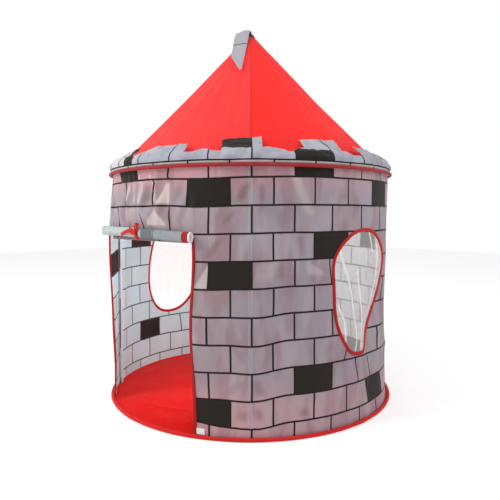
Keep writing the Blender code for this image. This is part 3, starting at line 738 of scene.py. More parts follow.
def front_relief(along, up, clear):
    """The swags over the door, the bulge left of it and the cloth's lean at the foot of the right jamb."""
    over_door = ramp(0.27, 0.18, abs(along)) * math.sin(math.pi * ramp(DOOR_TOP, WALL_TOP, up))
    relief = 0.014 * bell(up, 0.668, 0.052) * max(0.0, 1 - (along / 0.225) ** 2)
    relief += 0.0045 * over_door * math.sin(2 * math.pi * (along + 0.25 * (up - 0.7)) / 0.082 + 1.4)
    relief += 0.0025 * over_door * math.sin(2 * math.pi * (along - 0.5 * (up - 0.7)) / 0.047)
    height = 0.13 if up > 0.57 else 0.26
    relief += 0.0165 * bell(along, -0.265, 0.085) * bell(up, 0.57, height) * ramp(0.02, 0.20, up) * clear
    return relief + 0.005 * bell(along, JAMB, 0.05) * bell(up, 0.20, 0.12) * ramp(0.0, 0.08, up)


# The ripple that the hoops' tapes gather into the wall at its head and foot
RIPPLE_PITCH = 0.031
RIPPLE_DEPTH = 0.0022
RIPPLE_REACH = 0.035


def wall_relief(side, along, up):
    """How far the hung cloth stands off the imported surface."""
    ends = ramp(0.0, 0.03, up) * ramp(WALL_TOP, WALL_TOP - 0.03, up)
    beside_pole = QUARTER / 2 * WALL_RADIUS - abs(along)
    clear = ramp(0.0, 0.03, beside_pole)
    seam = 0.0012 * bell(beside_pole, 0.0, 0.006)
    relief = 0.0035 * waver(along, up, 0.22, SIDES[side]) + crease_depth(side, along, up)
    relief += 0.0012 * waver(along, up * 0.35, 0.05, SIDES[side] + 3)
    relief = ends * (clear * relief + seam)
    for gap, seed in ((WALL_TOP - up, 1), (up, 2)):
        strength = ramp(0.004, 0.018, gap) * math.exp(-gap / RIPPLE_REACH)
        strayed = 5 * waver(along, 0.0, 0.16, SIDES[side] + seed)
        ripple = math.sin(2 * math.pi * along / RIPPLE_PITCH + strayed)
        relief += RIPPLE_DEPTH * strength * ripple * (0.55 + 0.9 * waver(along, seed, 0.09))
    if side == "front":
        relief += front_relief(along, up, clear)
    return relief + clear * sum(swell(row, side, along, up) for row in BULGES)


def cloth_point(side, along, up, outward=0.0):
    """A point of the hung wall, from its place on the flat panel: along from the panel's middle, and up."""
    angle = math.radians(SIDES[side]) + pulled(side, along, up) / WALL_RADIUS
    return polar(frame_radius(angle, up) + wall_relief(side, along, up) + outward, angle, up)


def print_place(side, along, up):
    """Along and up the print, which runs on round the tent and hangs a little unevenly."""
    start = math.radians(SIDES[side] + 45) * WALL_RADIUS
    if side in ("rear", "left"):
        start += BRICK_WIDTH / 2
    sag = 0.0
    if side == "right":
        sag += ramp(-0.38, -0.27, along) * (0.0025 + 0.0090 * ramp(0.62, 0.30, up))
        sag -= 0.0055 * bell(along, -0.40, 0.06) * ramp(0.50, 0.20, up)
    if side == "front":
        sag -= 0.0055 * bell(along, 0.40, 0.06) * ramp(0.50, 0.20, up)
        sag -= 0.0042 * bell(along, 0.25, 0.09) * ramp(0.06, 0.16, up)
        sag += 0.0090 * bell(along, 0.235, 0.05) * bell(up, 0.035, 0.04)
        sag -= 0.0120 * bell(along, -0.29, 0.06) * ramp(0.60, 0.54, up)
        over_door = ramp(DOOR_TOP - 0.03, DOOR_TOP + 0.01, up) * ramp(0.772, 0.757, up)
        over_door *= ramp(0.20, 0.11, along) * ramp(-0.32, -0.20, along)
        stretch = over_door * (0.0175 - 0.25 * along + 0.4 * along**2)
        along += 0.026 * bell(along, -0.06, 0.19) * ramp(0.755, 0.772, up)
        along += pulled_print(along, up) + stretch
    return (start + along, up - sag)


def pulled_print(along, up):
    """How far the print has slid sideways where the cloth is drawn straight over the door."""
    if abs(along) > JAMB or up < DOOR_TOP:
        return 0.0
    bow = WALL_RADIUS - frame_radius(DOOR_ANGLE + along / WALL_RADIUS, up)
    return 0.62 * bow * math.tan(math.radians(45) + along / WALL_RADIUS)


def wall_place(side, along, up):
    """A point of the hung wall and its place on the print."""
    return cloth_point(side, along, up), print_place(side, along, up)


# Painted light and shade where creases catch or lose the light: left, right and height at the top and at the
# foot, and how much
PAINTED_CREASE_LIGHTS = (
    ((-0.264, -0.249, 0.757), (-0.301, -0.252, 0.688), 0.75),
    ((-0.306, -0.302, 0.676), (-0.357, -0.256, 0.6205), 0.60),
    ((-0.365, -0.357, 0.784), (-0.380, -0.359, 0.690), 0.50),
    ((-0.318, -0.312, 0.784), (-0.309, -0.298, 0.693), 0.60),
    ((-0.424, -0.412, 0.760), (-0.446, -0.432, 0.693), 0.50),
    ((-0.400, -0.392, 0.760), (-0.410, -0.398, 0.693), 0.50),
    ((-0.454, -0.386, 0.690), (-0.460, -0.405, 0.625), 0.25),
    ((-0.122, -0.117, 0.519), (-0.164, -0.126, 0.441), 0.55),
    ((-0.052, -0.034, 0.677), (-0.093, -0.072, 0.625), -0.30),
    ((-0.095, -0.076, 0.597), (-0.141, -0.118, 0.526), -0.30),
    ((-0.018, 0.002, 0.754), (-0.047, -0.024, 0.690), -0.45),
    ((-0.355, -0.318, 0.758), (-0.357, -0.314, 0.690), -0.30),
    ((0.112, 0.136, 0.783), (0.170, 0.198, 0.645), 0.32),
    ((0.162, 0.168, 0.520), (0.172, 0.251, 0.465), 0.35),
    ((0.130, 0.150, 0.605), (0.140, 0.168, 0.531), -0.18),
    ((0.021, 0.037, 0.755), (0.024, 0.042, 0.690), -0.35),
    ((0.081, 0.098, 0.678), (0.079, 0.098, 0.615), -0.22),
    ((0.075, 0.098, 0.525), (0.070, 0.095, 0.457), -0.22),
    ((0.020, 0.074, 0.525), (0.010, 0.069, 0.457), 0.18),
    ((0.248, 0.253, 0.280), (0.230, 0.261, 0.222), -0.28),
    ((0.146, 0.171, 0.085), (0.148, 0.178, 0.044), -0.40),
    ((0.012, 0.022, 0.190), (0.015, 0.049, 0.129), -0.32),
    ((0.015, 0.025, 0.108), (0.016, 0.046, 0.055), -0.35),
    ((-0.037, -0.012, 0.186), (-0.084, -0.053, 0.130), -0.22),
    ((-0.028, -0.009, 0.101), (-0.042, -0.009, 0.055), -0.35),
)


def painted_crease_light_and_tone(along, up):
    """Painted light and shade on the creases, from -1 to 1: how much darker or lighter the creased cloth is.
    Round the back it varies softly, with noise.
    """
    total = 0.30 * waver(along + 0.4 * up, up, 0.15, 21) * ramp(0.55, 0.75, abs(along))
    for (left, right, top), (low_left, low_right, low), tone in PAINTED_CREASE_LIGHTS:
        if low < up < top:
            share = (top - up) / (top - low)
            near, far = left + (low_left - left) * share, right + (low_right - right) * share
            soft = 0.004 if tone >= 0.5 else 0.010
            across = ramp(near - soft, near + soft, along) * ramp(far + soft, far - soft, along)
            total += tone * across * ramp(low, low + 2 * soft, up) * ramp(top, top - 2 * soft, up)
    return total


def add_shares(piece, name, shares):
    """A number for each point of a piece, which its material reads."""
    piece.data.attributes.new(name, "FLOAT", "POINT").data.foreach_set("value", shares)


def dress_wall(wall, side):
    # Painted crease light and shade for each point, which the wall's material reads as tone.
    tones = [0.0] * len(wall.data.vertices)
    measures = wall.data.uv_layers["cloth"].data
    for loop in wall.data.loops:
        tones[loop.vertex_index] = painted_crease_light_and_tone(*measures[loop.index].uv)
    add_shares(wall, "tone", tones)
    return dress(wall, "tent", "grey_print", side + "_wall")


def add_plain_wall(side, rows, columns, kept=None):
    def place(along, up):
        return wall_place(side, along, up)

    cloths = (wall_outside, wall_inside)
    wall = make_sheet(side + "_wall_cloth", rows, columns, place, cloths, kept, thickness=WALL_CLOTH)
    return dress_wall(wall, side)


REAR_STEPS = 131


def add_rear_wall():
    rows, columns = spread(WALL_FOOT, WALL_TOP, REAR_STEPS), spread(-PANEL_EDGE, PANEL_EDGE, REAR_STEPS)
    return add_plain_wall("rear", rows, columns)


def add_front_wall():
    """The doorway is left out of the panel's grid, which has a row and columns on its edges."""
    beside = spread(-PANEL_EDGE, -JAMB, 44)[:-1]
    doorway = spread(-JAMB, JAMB, 121)
    columns = beside + doorway + spread(JAMB, PANEL_EDGE, 44)[1:]
    rows = spread(WALL_FOOT, DOOR_TOP, 101)
    door_rows = len(rows) - 1
    rows += spread(DOOR_TOP, WALL_TOP, 51)[1:]

    def kept(row, column):
        return row >= door_rows or not len(beside) <= column < len(beside) + len(doorway) - 1

    return add_plain_wall("front", rows, columns, kept)


def fuller(value):
    return math.copysign(abs(value) ** WINDOW_FULLNESS, value)


def oval(turn, outset=0.0):
    """A point round a window's cut edge, on the flat panel."""
    along = (WINDOW_HALF_WIDTH + outset) * fuller(math.cos(turn))
    return along, WINDOW_HEIGHT + (WINDOW_HALF_HEIGHT + outset) * fuller(math.sin(turn))


def oval_toward(along, up):
    """The point of a window's cut edge that lies toward a place on the flat panel."""
    turn = math.atan2((up - WINDOW_HEIGHT) / WINDOW_HALF_HEIGHT, along / WINDOW_HALF_WIDTH)
    across, rise = (abs(value) ** (1 / WINDOW_FULLNESS) for value in (math.cos(turn), math.sin(turn)))
    return oval(math.atan2(math.copysign(rise, up - WINDOW_HEIGHT), math.copysign(across, along)))


# The flat panel's outline: corners, and the steps from each to the next
PANEL_OUTLINE = (
    (PANEL_EDGE, WINDOW_HEIGHT, 50),
    (PANEL_EDGE, WALL_TOP, 110),
    (-PANEL_EDGE, WALL_TOP, 110),
    (-PANEL_EDGE, WALL_FOOT, 110),
    (PANEL_EDGE, WALL_FOOT, 60),
)
WINDOW_WALL_RINGS = 56


def add_window_wall(side):
    """The panel's grid runs round the window, so that the cut edge is clean."""
    border = []
    for (start, low, count), following in zip(PANEL_OUTLINE, PANEL_OUTLINE[1:] + PANEL_OUTLINE[:1]):
        end, high = following[:2]
        for step in range(count):
            share = step / count
            border.append((start + (end - start) * share, low + (high - low) * share))
    points, pairs = [], []
    for share in spread(0.0, 1.0, WINDOW_WALL_RINGS):
        for along, up in border:
            inner_along, inner_up = oval_toward(along, up)
            place = inner_along + (along - inner_along) * share, inner_up + (up - inner_up) * share
            point, pair = wall_place(side, *place)
            points.append(point)
            pairs.append(pair)
    faces = [face[3:] + face[:3] for face in ring_faces(WINDOW_WALL_RINGS, len(border))]
    cloths = (wall_outside, wall_inside)
    wall = make_piece(side + "_wall_cloth", points, faces, pairs, cloths, thickness=WALL_CLOTH)
    return dress_wall(wall, side)


# White streaks in the slack net, where it lies double: along and up on the panel, from end to end
NET_FOLDS = (
    ((-0.105, 0.555), (-0.070, 0.415), (-0.030, 0.235)),
    ((0.025, 0.600), (0.045, 0.540)),
    ((0.075, 0.560), (0.070, 0.480), (0.078, 0.350)),
    ((-0.120, 0.380), (-0.100, 0.335), (-0.090, 0.235)),
    ((0.000, 0.330), (0.006, 0.270)),
    ((-0.040, 0.480), (-0.010, 0.360), (0.010, 0.240)),
)
NET_FOLD_WIDTH = 0.0035
NET_RINGS = 70
NET_STEPS = 260

# The net ends a little inside the window's cut edge
NET_OUTSET = -0.0022


def net_fold(along, up, wider=1.0):
    """1 on a fold's line, falling to 0 beside it."""
    nearest = 1.0
    for line in NET_FOLDS:
        for (start, low), (end, high) in zip(line, line[1:]):
            run, rise = end - start, high - low
            share = ((along - start) * run + (up - low) * rise) / (run * run + rise * rise)
            share = min(1.0, max(0.0, share))
            nearest = min(nearest, math.hypot(along - start - run * share, up - low - rise * share))
    return math.exp(-((nearest / (NET_FOLD_WIDTH * wider)) ** 2))


def add_net(side):
    """The slack net. Only the near window's folds show white."""
    mirror = 1 if side == "right" else -1
    points, pairs, folds = [], [], []
    for ring in range(1, NET_RINGS + 1):
        share = ring / NET_RINGS
        for turn in turns_of(NET_STEPS):
            edge_along, edge_up = oval(turn, NET_OUTSET)
            along = edge_along * share
            up = WINDOW_HEIGHT + (edge_up - WINDOW_HEIGHT) * share
            slack = 0.006 * waver(along, up * 0.5, 0.05, SIDES[side] + 9)
            slack += 0.004 * net_fold(mirror * along, up, 2.0)
            points.append(cloth_point(side, along, up, ramp(1.0, 0.8, share) * slack))
            pairs.append((along, up))
            folds.append(net_fold(along, up) if side == "right" else 0.0)
    faces = [tuple(range(NET_STEPS))] + ring_faces(NET_RINGS, NET_STEPS)
    piece = make_piece(side + "_window_net_cloth", points, faces, pairs, (net,))
    add_shares(piece, "fold", folds)
    return dress(piece, "tent", "white_net", side + "_window_net")


# Edge tapes: reach past the edge, reach into the cloth, and half the thickness of the folded tape
EDGE_WEB = 0.0018
EDGE_FLANGE = 0.0092
EDGE_HALF = 0.0024
PUCKER_PITCH = 0.019
PUCKER_DEPTH = 0.12


def folded_section():
    """A tape folded over an edge, as places into the cloth and off its middle."""
    bulge = EDGE_HALF * 1.04
    section = [(EDGE_FLANGE, -EDGE_HALF), (0.0005, -bulge)]
    for turn in (-70, -35, 0, 35, 70):
        section.append((-EDGE_WEB * math.cos(math.radians(turn)), bulge * math.sin(math.radians(turn))))
    section += [(0.0005, bulge), (EDGE_FLANGE, EDGE_HALF)]
    return section + [(EDGE_FLANGE, EDGE_HALF * 0.45), (EDGE_FLANGE, -EDGE_HALF * 0.45)]


def add_edge(name, node, side, places, closed, material):
    """A tape folded over an edge. Each place is a point of the edge, one deeper and one further on."""
    section = folded_section()
    rings, measures = [], []
    run, last = 0.0, None
    for three in places:
        place, deeper, after = (cloth_point(side, *pair) for pair in three)
        into = (deeper - place).normalized()
        outward = into.cross((after - place).normalized()).normalized()
        if outward.dot(Vector((place.x, place.y, 0.0))) < 0:
            outward.negate()
        if last is not None:
            run += (place - last).length
        last = place
        pucker = 1.0 + PUCKER_DEPTH * math.sin(run * 2 * math.pi / PUCKER_PITCH) * waver(run, 0.0, 0.05, 4)
        rings.append([place + into * along + outward * off * pucker for along, off in section])
        measures.extend((run, EDGE_FLANGE - along) for along, off in section)
    return dress(make_tube(name, rings, (material,), closed, measures), "tent", "red_tape", node)


def add_window_edge(side):
    places = [(oval(turn), oval(turn, 0.004), oval(turn + 0.02)) for turn in turns_of(220)]
    return add_edge(side + "_window_edge", side + "_window_tape", side, places, True, edge_red)


def add_door_edges():
    pieces = []
    for side, sign in (("left", -1), ("right", 1)):
        jamb, deeper = sign * JAMB, sign * (JAMB + 0.005)
        heights = spread(0.0105, DOOR_TOP - 0.0025, 110)
        places = [((jamb, up), (deeper, up), (jamb, up + 0.003)) for up in heights]
        pieces.append(add_edge(side + "_jamb_edge", side + "_jamb_tape", "front", places, False, jamb_red))
    across = spread(-JAMB - 0.0005, JAMB + 0.0005, 120)
    places = [((along, DOOR_TOP), (along, DOOR_TOP + 0.005), (along + 0.003, DOOR_TOP)) for along in across]
    pieces.append(add_edge("door_head_edge", "door_head_tape", "front", places, False, jamb_red))
    return pieces


# The tabs at the jambs' feet: gap from the jamb, width, and how much they lean
JAMB_TAB_GAP = 0.0075
JAMB_TAB_WIDTH = 0.026
JAMB_TAB_LEAN = 0.08


def add_jamb_tab(side, sign):
    """A hook-and-loop tab by the foot of a jamb, the right one on the wall's face and the left one inside."""

    def place(run, up):
        lowered = up - JAMB_TAB_LEAN * run
        return cloth_point("front", sign * (JAMB + JAMB_TAB_GAP + run), lowered, sign * 0.0020), (run, up)

    columns = spread(0.0, JAMB_TAB_WIDTH, 16)[::sign]
    rows = spread(0.0112, 0.0300, 12)
    tab = make_sheet(side + "_jamb_tab_cloth", rows, columns, place, (white_loop,), thickness=THICK_CLOTH)
    return dress(tab, "tent", "white_tape", side + "_door_tab")


# Hoops and floor

HOOP_STEPS = 420
HOOP_SIDES = 16

# How much the tape is flattened below and above the wire
FLAT_BELOW = 0.87
FLAT_ABOVE = 0.95


def add_hoop(name, height, material):
    """The red tape round the hoop's wire, slightly gathered. The lower one lies flat on the ground."""
    rings, measures = [], []
    for angle in spread(0.0, 2 * math.pi, HOOP_STEPS + 1):
        run = HOOP_RADIUS * angle
        reach = TAPE_TUBE + waver(run, height, 0.012) * 0.00035 + waver(run, height, 0.07, 2) * 0.0005
        ring = []
        for turn in turns_of(HOOP_SIDES):
            rise = reach * math.sin(turn) * (FLAT_BELOW if math.sin(turn) < 0 else FLAT_ABOVE)
            ring.append(polar(HOOP_RADIUS + reach * math.cos(turn), angle, max(height + rise, 0.0)))
            measures.append((run, abs(turn - math.pi) * TAPE_TUBE))
        rings.append(ring)
    hoop = make_tube(name + "_hoop_cover", rings, (material,), False, measures)
    return dress(hoop, "tent", "red_tape", name + "_hoop_tape")


def floor_height(x, y):
    """The floor lies on the ground and is rucked up a little, most of all inside the doorway."""
    radius = math.hypot(x, y)
    inside = ramp(0.505, 0.44, radius)
    front = 0.35 + 0.65 * bell(y, -0.34, 0.20)
    rise = 0.5 + 0.5 * waver(x, y, 0.11, 1)
    folds = 0.5 + 0.5 * waver(x * 0.6 + y * 0.8, (y - x) * 0.35, 0.045, 2)
    ridge = math.exp(-abs(y + 0.43 - 0.35 * (x + 0.1)) / 0.014) * bell(x, 0.02, 0.14)
    ridge += 0.8 * math.exp(-abs(y + 0.40 + 0.5 * (x - 0.12)) / 0.012) * bell(x, 0.14, 0.07)
    turned_up = 0.0030 * ramp(0.498, 0.5135, radius)
    return 0.0018 + turned_up + inside * front * (0.009 * rise + 0.007 * folds * rise + 0.010 * ridge)


def floor_place(angle, radius):
    x, y = radius * math.cos(angle), radius * math.sin(angle)
    return Vector((x, y, floor_height(x, y))), (x, y)


def add_floor():
    radius = WALL_RADIUS + 0.0026
    rows = [radius * share for share in spread(0.004, 1.0, 90)]
    turns = spread(0.0, -2 * math.pi, 241)
    floor = make_sheet("floor_cloth", rows, turns, floor_place, (floor_red,), thickness=THICK_CLOTH)
    return dress(floor, "tent", "red_floor", "floor_sheet")


# Poles' sleeves

SLEEVE_GAP = 0.0003
SLEEVE_FOOT = 0.0062
SLEEVE_STEP = 0.008
SLEEVE_SIDES = 14


def add_sleeve(name, start, way, length, flat_way, node):
    """A slightly slack sewn sleeve, open at both ends."""
    across = way.cross(flat_way).normalized()
    above = across.cross(way).normalized()
    stations = spread(0.0, length, max(3, int(length / SLEEVE_STEP)))
    outside = [(along, SLEEVE_RADIUS) for along in stations]
    inside = [(along, SLEEVE_BORE) for along in stations[::-1]]
    rings, measures = [], []
    for along, radius in outside + inside:
        ring = []
        for side, turn in enumerate(turns_of(SLEEVE_SIDES)):
            slack = 0.0 if radius == SLEEVE_BORE else 0.0004 * waver(along, side, 0.02, 5)
            offset = across * math.cos(turn) + above * math.sin(turn)
            ring.append(start + way * along + offset * (radius + slack))
            measures.append((along, turn * radius))
        rings.append(ring)
    return dress(make_tube(name, rings, (sleeve_cloth,), True, measures), "tent", "sleeve_cloth", node)


def add_sleeves():
    hub_height = ROOF_POINT_HEIGHT - POLE_OFFSET / math.cos(ROOF_SLOPE)
    elbow_height = hub_height - POLE_LINE_RADIUS * math.tan(ROOF_SLOPE)
    wall_length = elbow_height - ELBOW_REACH - SLEEVE_FOOT - SLEEVE_GAP
    roof_length = POLE_LINE_RADIUS / math.cos(ROOF_SLOPE) - ELBOW_REACH - HUB_REACH - 2 * SLEEVE_GAP
    for corner, bearing in CORNERS.items():
        outward = polar(1.0, math.radians(bearing), 0.0)
        foot = outward * POLE_LINE_RADIUS + UP * SLEEVE_FOOT
        add_sleeve("wall_sleeve_cloth_" + corner, foot, UP, wall_length, outward, "wall_sleeve_" + corner)
        elbow = outward * POLE_LINE_RADIUS + UP * elbow_height
        slope = (UP * hub_height - elbow).normalized()
        start = elbow + slope * (ELBOW_REACH + SLEEVE_GAP)
        add_sleeve("roof_sleeve_cloth_" + corner, start, slope, roof_length, outward, "roof_sleeve_" + corner)


# Roof

# Radial creases of each gore: across at the foot from -1 to 1, how it wanders, depth, and where it fades
ROOF_CREASES = {
    "front": ((-0.78, 0.10, 0.0040, 0.9), (-0.52, 0.18, 0.0052, 1.0), (-0.28, 0.05, 0.0036, 0.8),
              (0.02, -0.06, 0.0046, 1.0), (0.30, 0.02, 0.0034, 0.85), (0.58, -0.12, 0.0040, 1.0),
              (0.84, 0.0, 0.0024, 0.7)),
    "right": ((-0.82, 0.04, 0.0022, 0.9), (-0.45, 0.06, 0.0026, 1.0), (-0.12, -0.05, 0.0022, 0.7),
              (0.28, 0.08, 0.0030, 1.0), (0.62, -0.04, 0.0026, 0.8)),
    "rear": ((-0.70, 0.05, 0.0034, 1.0), (-0.30, -0.10, 0.0030, 0.8), (0.10, 0.08, 0.0040, 1.0),
             (0.55, -0.05, 0.0034, 0.9)),
    "left": ((-0.60, -0.05, 0.0032, 0.9), (-0.18, 0.10, 0.0036, 1.0), (0.26, -0.08, 0.0030, 0.8),
             (0.68, 0.05, 0.0034, 1.0)),
}  # fmt: skip


def gore_point(side, across, up_share):
    """A point on a gore: across runs from -1 to 1 between its seams. The cloth sags and is creased there."""
    radius = ROOF_FOOT_RADIUS + (ROOF_TOP_RADIUS - ROOF_FOOT_RADIUS) * up_share
    arch = math.sin(math.pi * up_share)
    beside_seam = 1 - abs(across)
    sag = GORE_SAG * (1 - across**2) * arch
    width = 0.006 / max(radius * QUARTER / 2, 0.02)
    for foot, drift, depth, reach in ROOF_CREASES[side]:
        fade = ramp(0.03, 0.30, up_share) * ramp(1.02, 0.72, up_share / reach)
        away = abs(across - foot - drift * up_share)
        sag += depth * fade * (0.55 * math.exp(-away / width) - 0.35 * bell(away, 3.5 * width, 2.6 * width))
    slack = waver(across * 0.4, up_share * 0.7, 0.16, SIDES[side])
    sag += 0.0030 * slack * arch * ramp(0.0, 0.08, beside_seam)
    sag -= 0.0014 * math.exp(-beside_seam * radius / 0.004) * ramp(0.0, 0.03, up_share)
    angle = math.radians(SIDES[side]) + across * (QUARTER / 2 - SEAM_GAP / radius)
    height = ROOF_POINT_HEIGHT - radius * math.tan(ROOF_SLOPE)
    return polar(radius - sag * math.sin(ROOF_SLOPE), angle, height - sag * math.cos(ROOF_SLOPE))


GORE_STEPS = 121


def add_gore(side):
    def place(across, share):
        return gore_point(side, across, share), (across * 0.4 * (1 - 0.9 * share), share * 0.72)

    rows = spread(0.0, 1.0, GORE_STEPS)
    columns = [math.copysign(1 - (1 - abs(value)) ** 1.25, value) for value in spread(-1.0, 1.0, GORE_STEPS)]
    # The front gore takes the lighter copy of the red, painted light.
    outside = roof_outside_front_lit if side == "front" else roof_outside
    cloths = (outside, roof_inside)
    gore = make_sheet(side + "_roof_cloth", rows, columns, place, cloths, thickness=ROOF_CLOTH)
    return dress(gore, "tent", "red_roof", side + "_roof_gore")


# Battlement band

# Its section: radius and height
BAND_LINE = (
    (0.5155, 0.8062), (0.5182, 0.8160), (0.5175, 0.8270), (0.5085, 0.8410), (0.4930, 0.8515),
    (0.4760, 0.8630), (0.4590, 0.8745), (0.4430, 0.8855), (0.4330, 0.8925),
)  # fmt: skip

# The height of its edge between merlons, and metres round it for each degree
LOW_EDGE = 0.0355
AROUND = 0.009

# Number 0 stands so many degrees from the front right pole
MERLONS = 14
MERLON_PITCH = 360 / MERLONS
FIRST_NUMBER = -4
MIDDLE_MERLON = -2.5
LOW_ROWS = 16
BAND_ROWS = 42

# Each merlon's outline in degrees from its middle and distance up: left foot, top left, top right, right foot
MERLON_SHAPES = {
    -3: (-9.0, (-8.0, 0.072), (9.0, 0.076), 10.0),
    -2: (-12.5, (-12.5, 0.078), (4.4, 0.090), 6.8),
    -1: (-16.8, (-10.6, 0.086), (4.6, 0.087), 5.9),
    0: (-6.8, (-8.0, 0.102), (6.9, 0.124), 6.6),
    1: (-4.4, (-4.0, 0.111), (13.4, 0.124), 10.4),
    2: (-6.0, (-3.2, 0.100), (9.5, 0.080), 12.6),
    3: (-9.0, (-9.6, 0.078), (6.4, 0.084), 7.4),
}
PLAIN_SHAPES = (
    (-7.2, (-6.5, 0.104), (6.2, 0.100), 7.6),
    (-8.6, (-6.0, 0.094), (7.6, 0.100), 6.8),
    (-6.8, (-7.9, 0.106), (6.0, 0.104), 7.4),
)

# Where the low edge stands up in a fold: degrees, its reach in degrees, and how high
LOW_PEAKS = (
    (-15.6, 3.2, 0.014), (-42.0, 5.5, 0.018), (5.8, 6.5, 0.022),
    (18.6, 5.4, 0.026), (33.5, 4.5, 0.014), (61.0, 5.0, 0.020),
)  # fmt: skip


def band_section(arc):
    """Radius and height of the band's surface, and its slope, at a distance up from the hoop."""
    run = 0.0
    for (near, low), (far, high) in zip(BAND_LINE, BAND_LINE[1:]):
        length = math.hypot(far - near, high - low)
        if arc <= run + length or (far, high) == BAND_LINE[-1]:
            share = (arc - run) / length
            run, rise = (far - near) / length, (high - low) / length
            return near + run * length * share, low + rise * length * share, run, rise
        run += length


def low_edge(degrees):
    """The band's edge between two merlons."""
    edge = LOW_EDGE + 0.0030 * waver(degrees * AROUND, 0.0, 0.035, 6)
    for peak, reach, height in LOW_PEAKS:
        edge += height * max(0.0, 1 - abs(degrees - peak) / reach)
    return edge


def band_point(degrees, arc):
    """A point of the crumpled band."""
    radius, height, run, rise = band_section(arc)
    around = degrees * AROUND
    free = ramp(0.0, 0.02, arc)
    crumple = 0.0026 * waver(around, arc, 0.026, 8) + 0.0016 * waver(around, arc * 0.5, 0.012, 9)
    crumple += 0.0022 * math.sin(around / 0.0105 + 4 * waver(around, 0.0, 0.1, 3)) * bell(arc, 0.018, 0.02)
    fold = abs(waver(around * 0.8 + arc * 0.7, arc - around * 0.2, 0.03, 10))
    crumple += 0.0045 * (0.35 - fold) * ramp(0.01, 0.04, arc)
    lift = max(crumple * free, -0.0030) + 0.0015 * free
    return polar(radius + rise * lift, math.radians(degrees - 45), height - run * lift)


def merlon_shape(number):
    return MERLON_SHAPES.get(number, PLAIN_SHAPES[number % len(PLAIN_SHAPES)])


def band_columns():
    """The strip's columns: a merlon's number, middle, outline and share across, or in a gap just degrees."""
    columns = []
    for number in range(FIRST_NUMBER, FIRST_NUMBER + MERLONS):
        middle = MIDDLE_MERLON + number * MERLON_PITCH
        shape = merlon_shape(number)
        after = merlon_shape(number + 1 if number < FIRST_NUMBER + MERLONS - 1 else FIRST_NUMBER)
        columns += [(number, middle, shape, share) for share in spread(0.0, 1.0, 34)]
        gap = spread(middle + shape[3], middle + MERLON_PITCH + after[0], 14)[1:-1]
        columns += [(None, degrees, None, None) for degrees in gap]
    first_middle, first_shape = columns[0][1:3]
    return columns + [(None, first_middle + 360 + first_shape[0], None, None)]


def band_place(column, row):
    """A point of the band, and its place on the print."""
    number, middle, shape, share = column
    if number is None:
        degrees = middle
        arc = low_edge(degrees) * min(1.0, row / (LOW_ROWS - 1))
    else:
        left, (top_left, left_height), (top_right, right_height), right = shape
        degrees = middle + left + (right - left) * share
        low = low_edge(degrees)
        if row < LOW_ROWS:
            arc = low * row / (LOW_ROWS - 1)
        else:
            rise = (row - LOW_ROWS + 1) / (BAND_ROWS - LOW_ROWS)
            top = middle + top_left + (top_right - top_left) * share
            crown = left_height + (right_height - left_height) * share
            crown += 0.0022 * waver(degrees * AROUND, 1.0, 0.03, 7)
            degrees += (top - degrees) * rise + 0.25 * waver(rise * 0.05, share * 0.02, 0.02, 14) * rise
            arc = low + (crown - low) * rise
    return band_point(degrees, arc), (math.radians(degrees) * WALL_RADIUS, arc)


def add_band():
    """A strip round the eave whose lower rows run right round and whose merlons go on up from it."""
    columns = band_columns()

    def kept(row, column):
        number = columns[column][0]
        return row < LOW_ROWS - 1 or (number is not None and number == columns[column + 1][0])

    cloths = (band_print, band_inside)
    band = make_sheet("band_cloth", range(BAND_ROWS), columns, band_place, cloths, kept, thickness=WALL_CLOTH)
    return dress(band, "tent", "grey_print", "battlement_band")


# Peak

# The stitched point's outer and inner face, from the rim up: radius and rise
CAP_OUTER = (
    (0.0166, 0.0), (0.0158, 0.0014), (0.0126, 0.0052), (0.0086, 0.0098), (0.0052, 0.0140),
    (0.0032, 0.0190), (0.0018, 0.0236), (0.0006, 0.0248),
)  # fmt: skip
CAP_INNER = ((0.0150, 0.0), (0.0084, 0.0076), (0.0020, 0.0140))
CAP_CLEARANCE = 0.0026


def add_cap():
    """A stitched cloth point over the gores' tips."""
    rim = ROOF_POINT_HEIGHT + CAP_CLEARANCE - CAP_INNER[0][0] * math.tan(ROOF_SLOPE)
    rings = []
    for radius, rise in CAP_OUTER[::-1] + CAP_INNER:
        pucker = 0.03 * radius * ramp(0.002, 0.02, radius)
        rings.append([polar(radius + pucker * math.sin(8 * turn), turn, rim + rise) for turn in turns_of(40)])
    cap = make_tube("peak_cap", rings, (black_cloth,), False)
    return dress(cap, "tent", "black_cloth", "apex_cap")


TAB_DIRECTION = Vector((-math.sqrt(0.5), -math.sqrt(0.5), 0.0))
TAB_FRONT = Vector((math.sqrt(0.5), -math.sqrt(0.5), 0.0))
TAB_START = 0.0015
TAB_WIDTH = 0.0545
TAB_REST = 0.0045
TAB_POINT_SHARE = 0.3
TAB_INNER_FOOT = Vector((0.0310, 0.258))
TAB_POINT = Vector((0.0370, 0.261))
TAB_OUTER_FOOT = Vector((0.0694, 0.161))


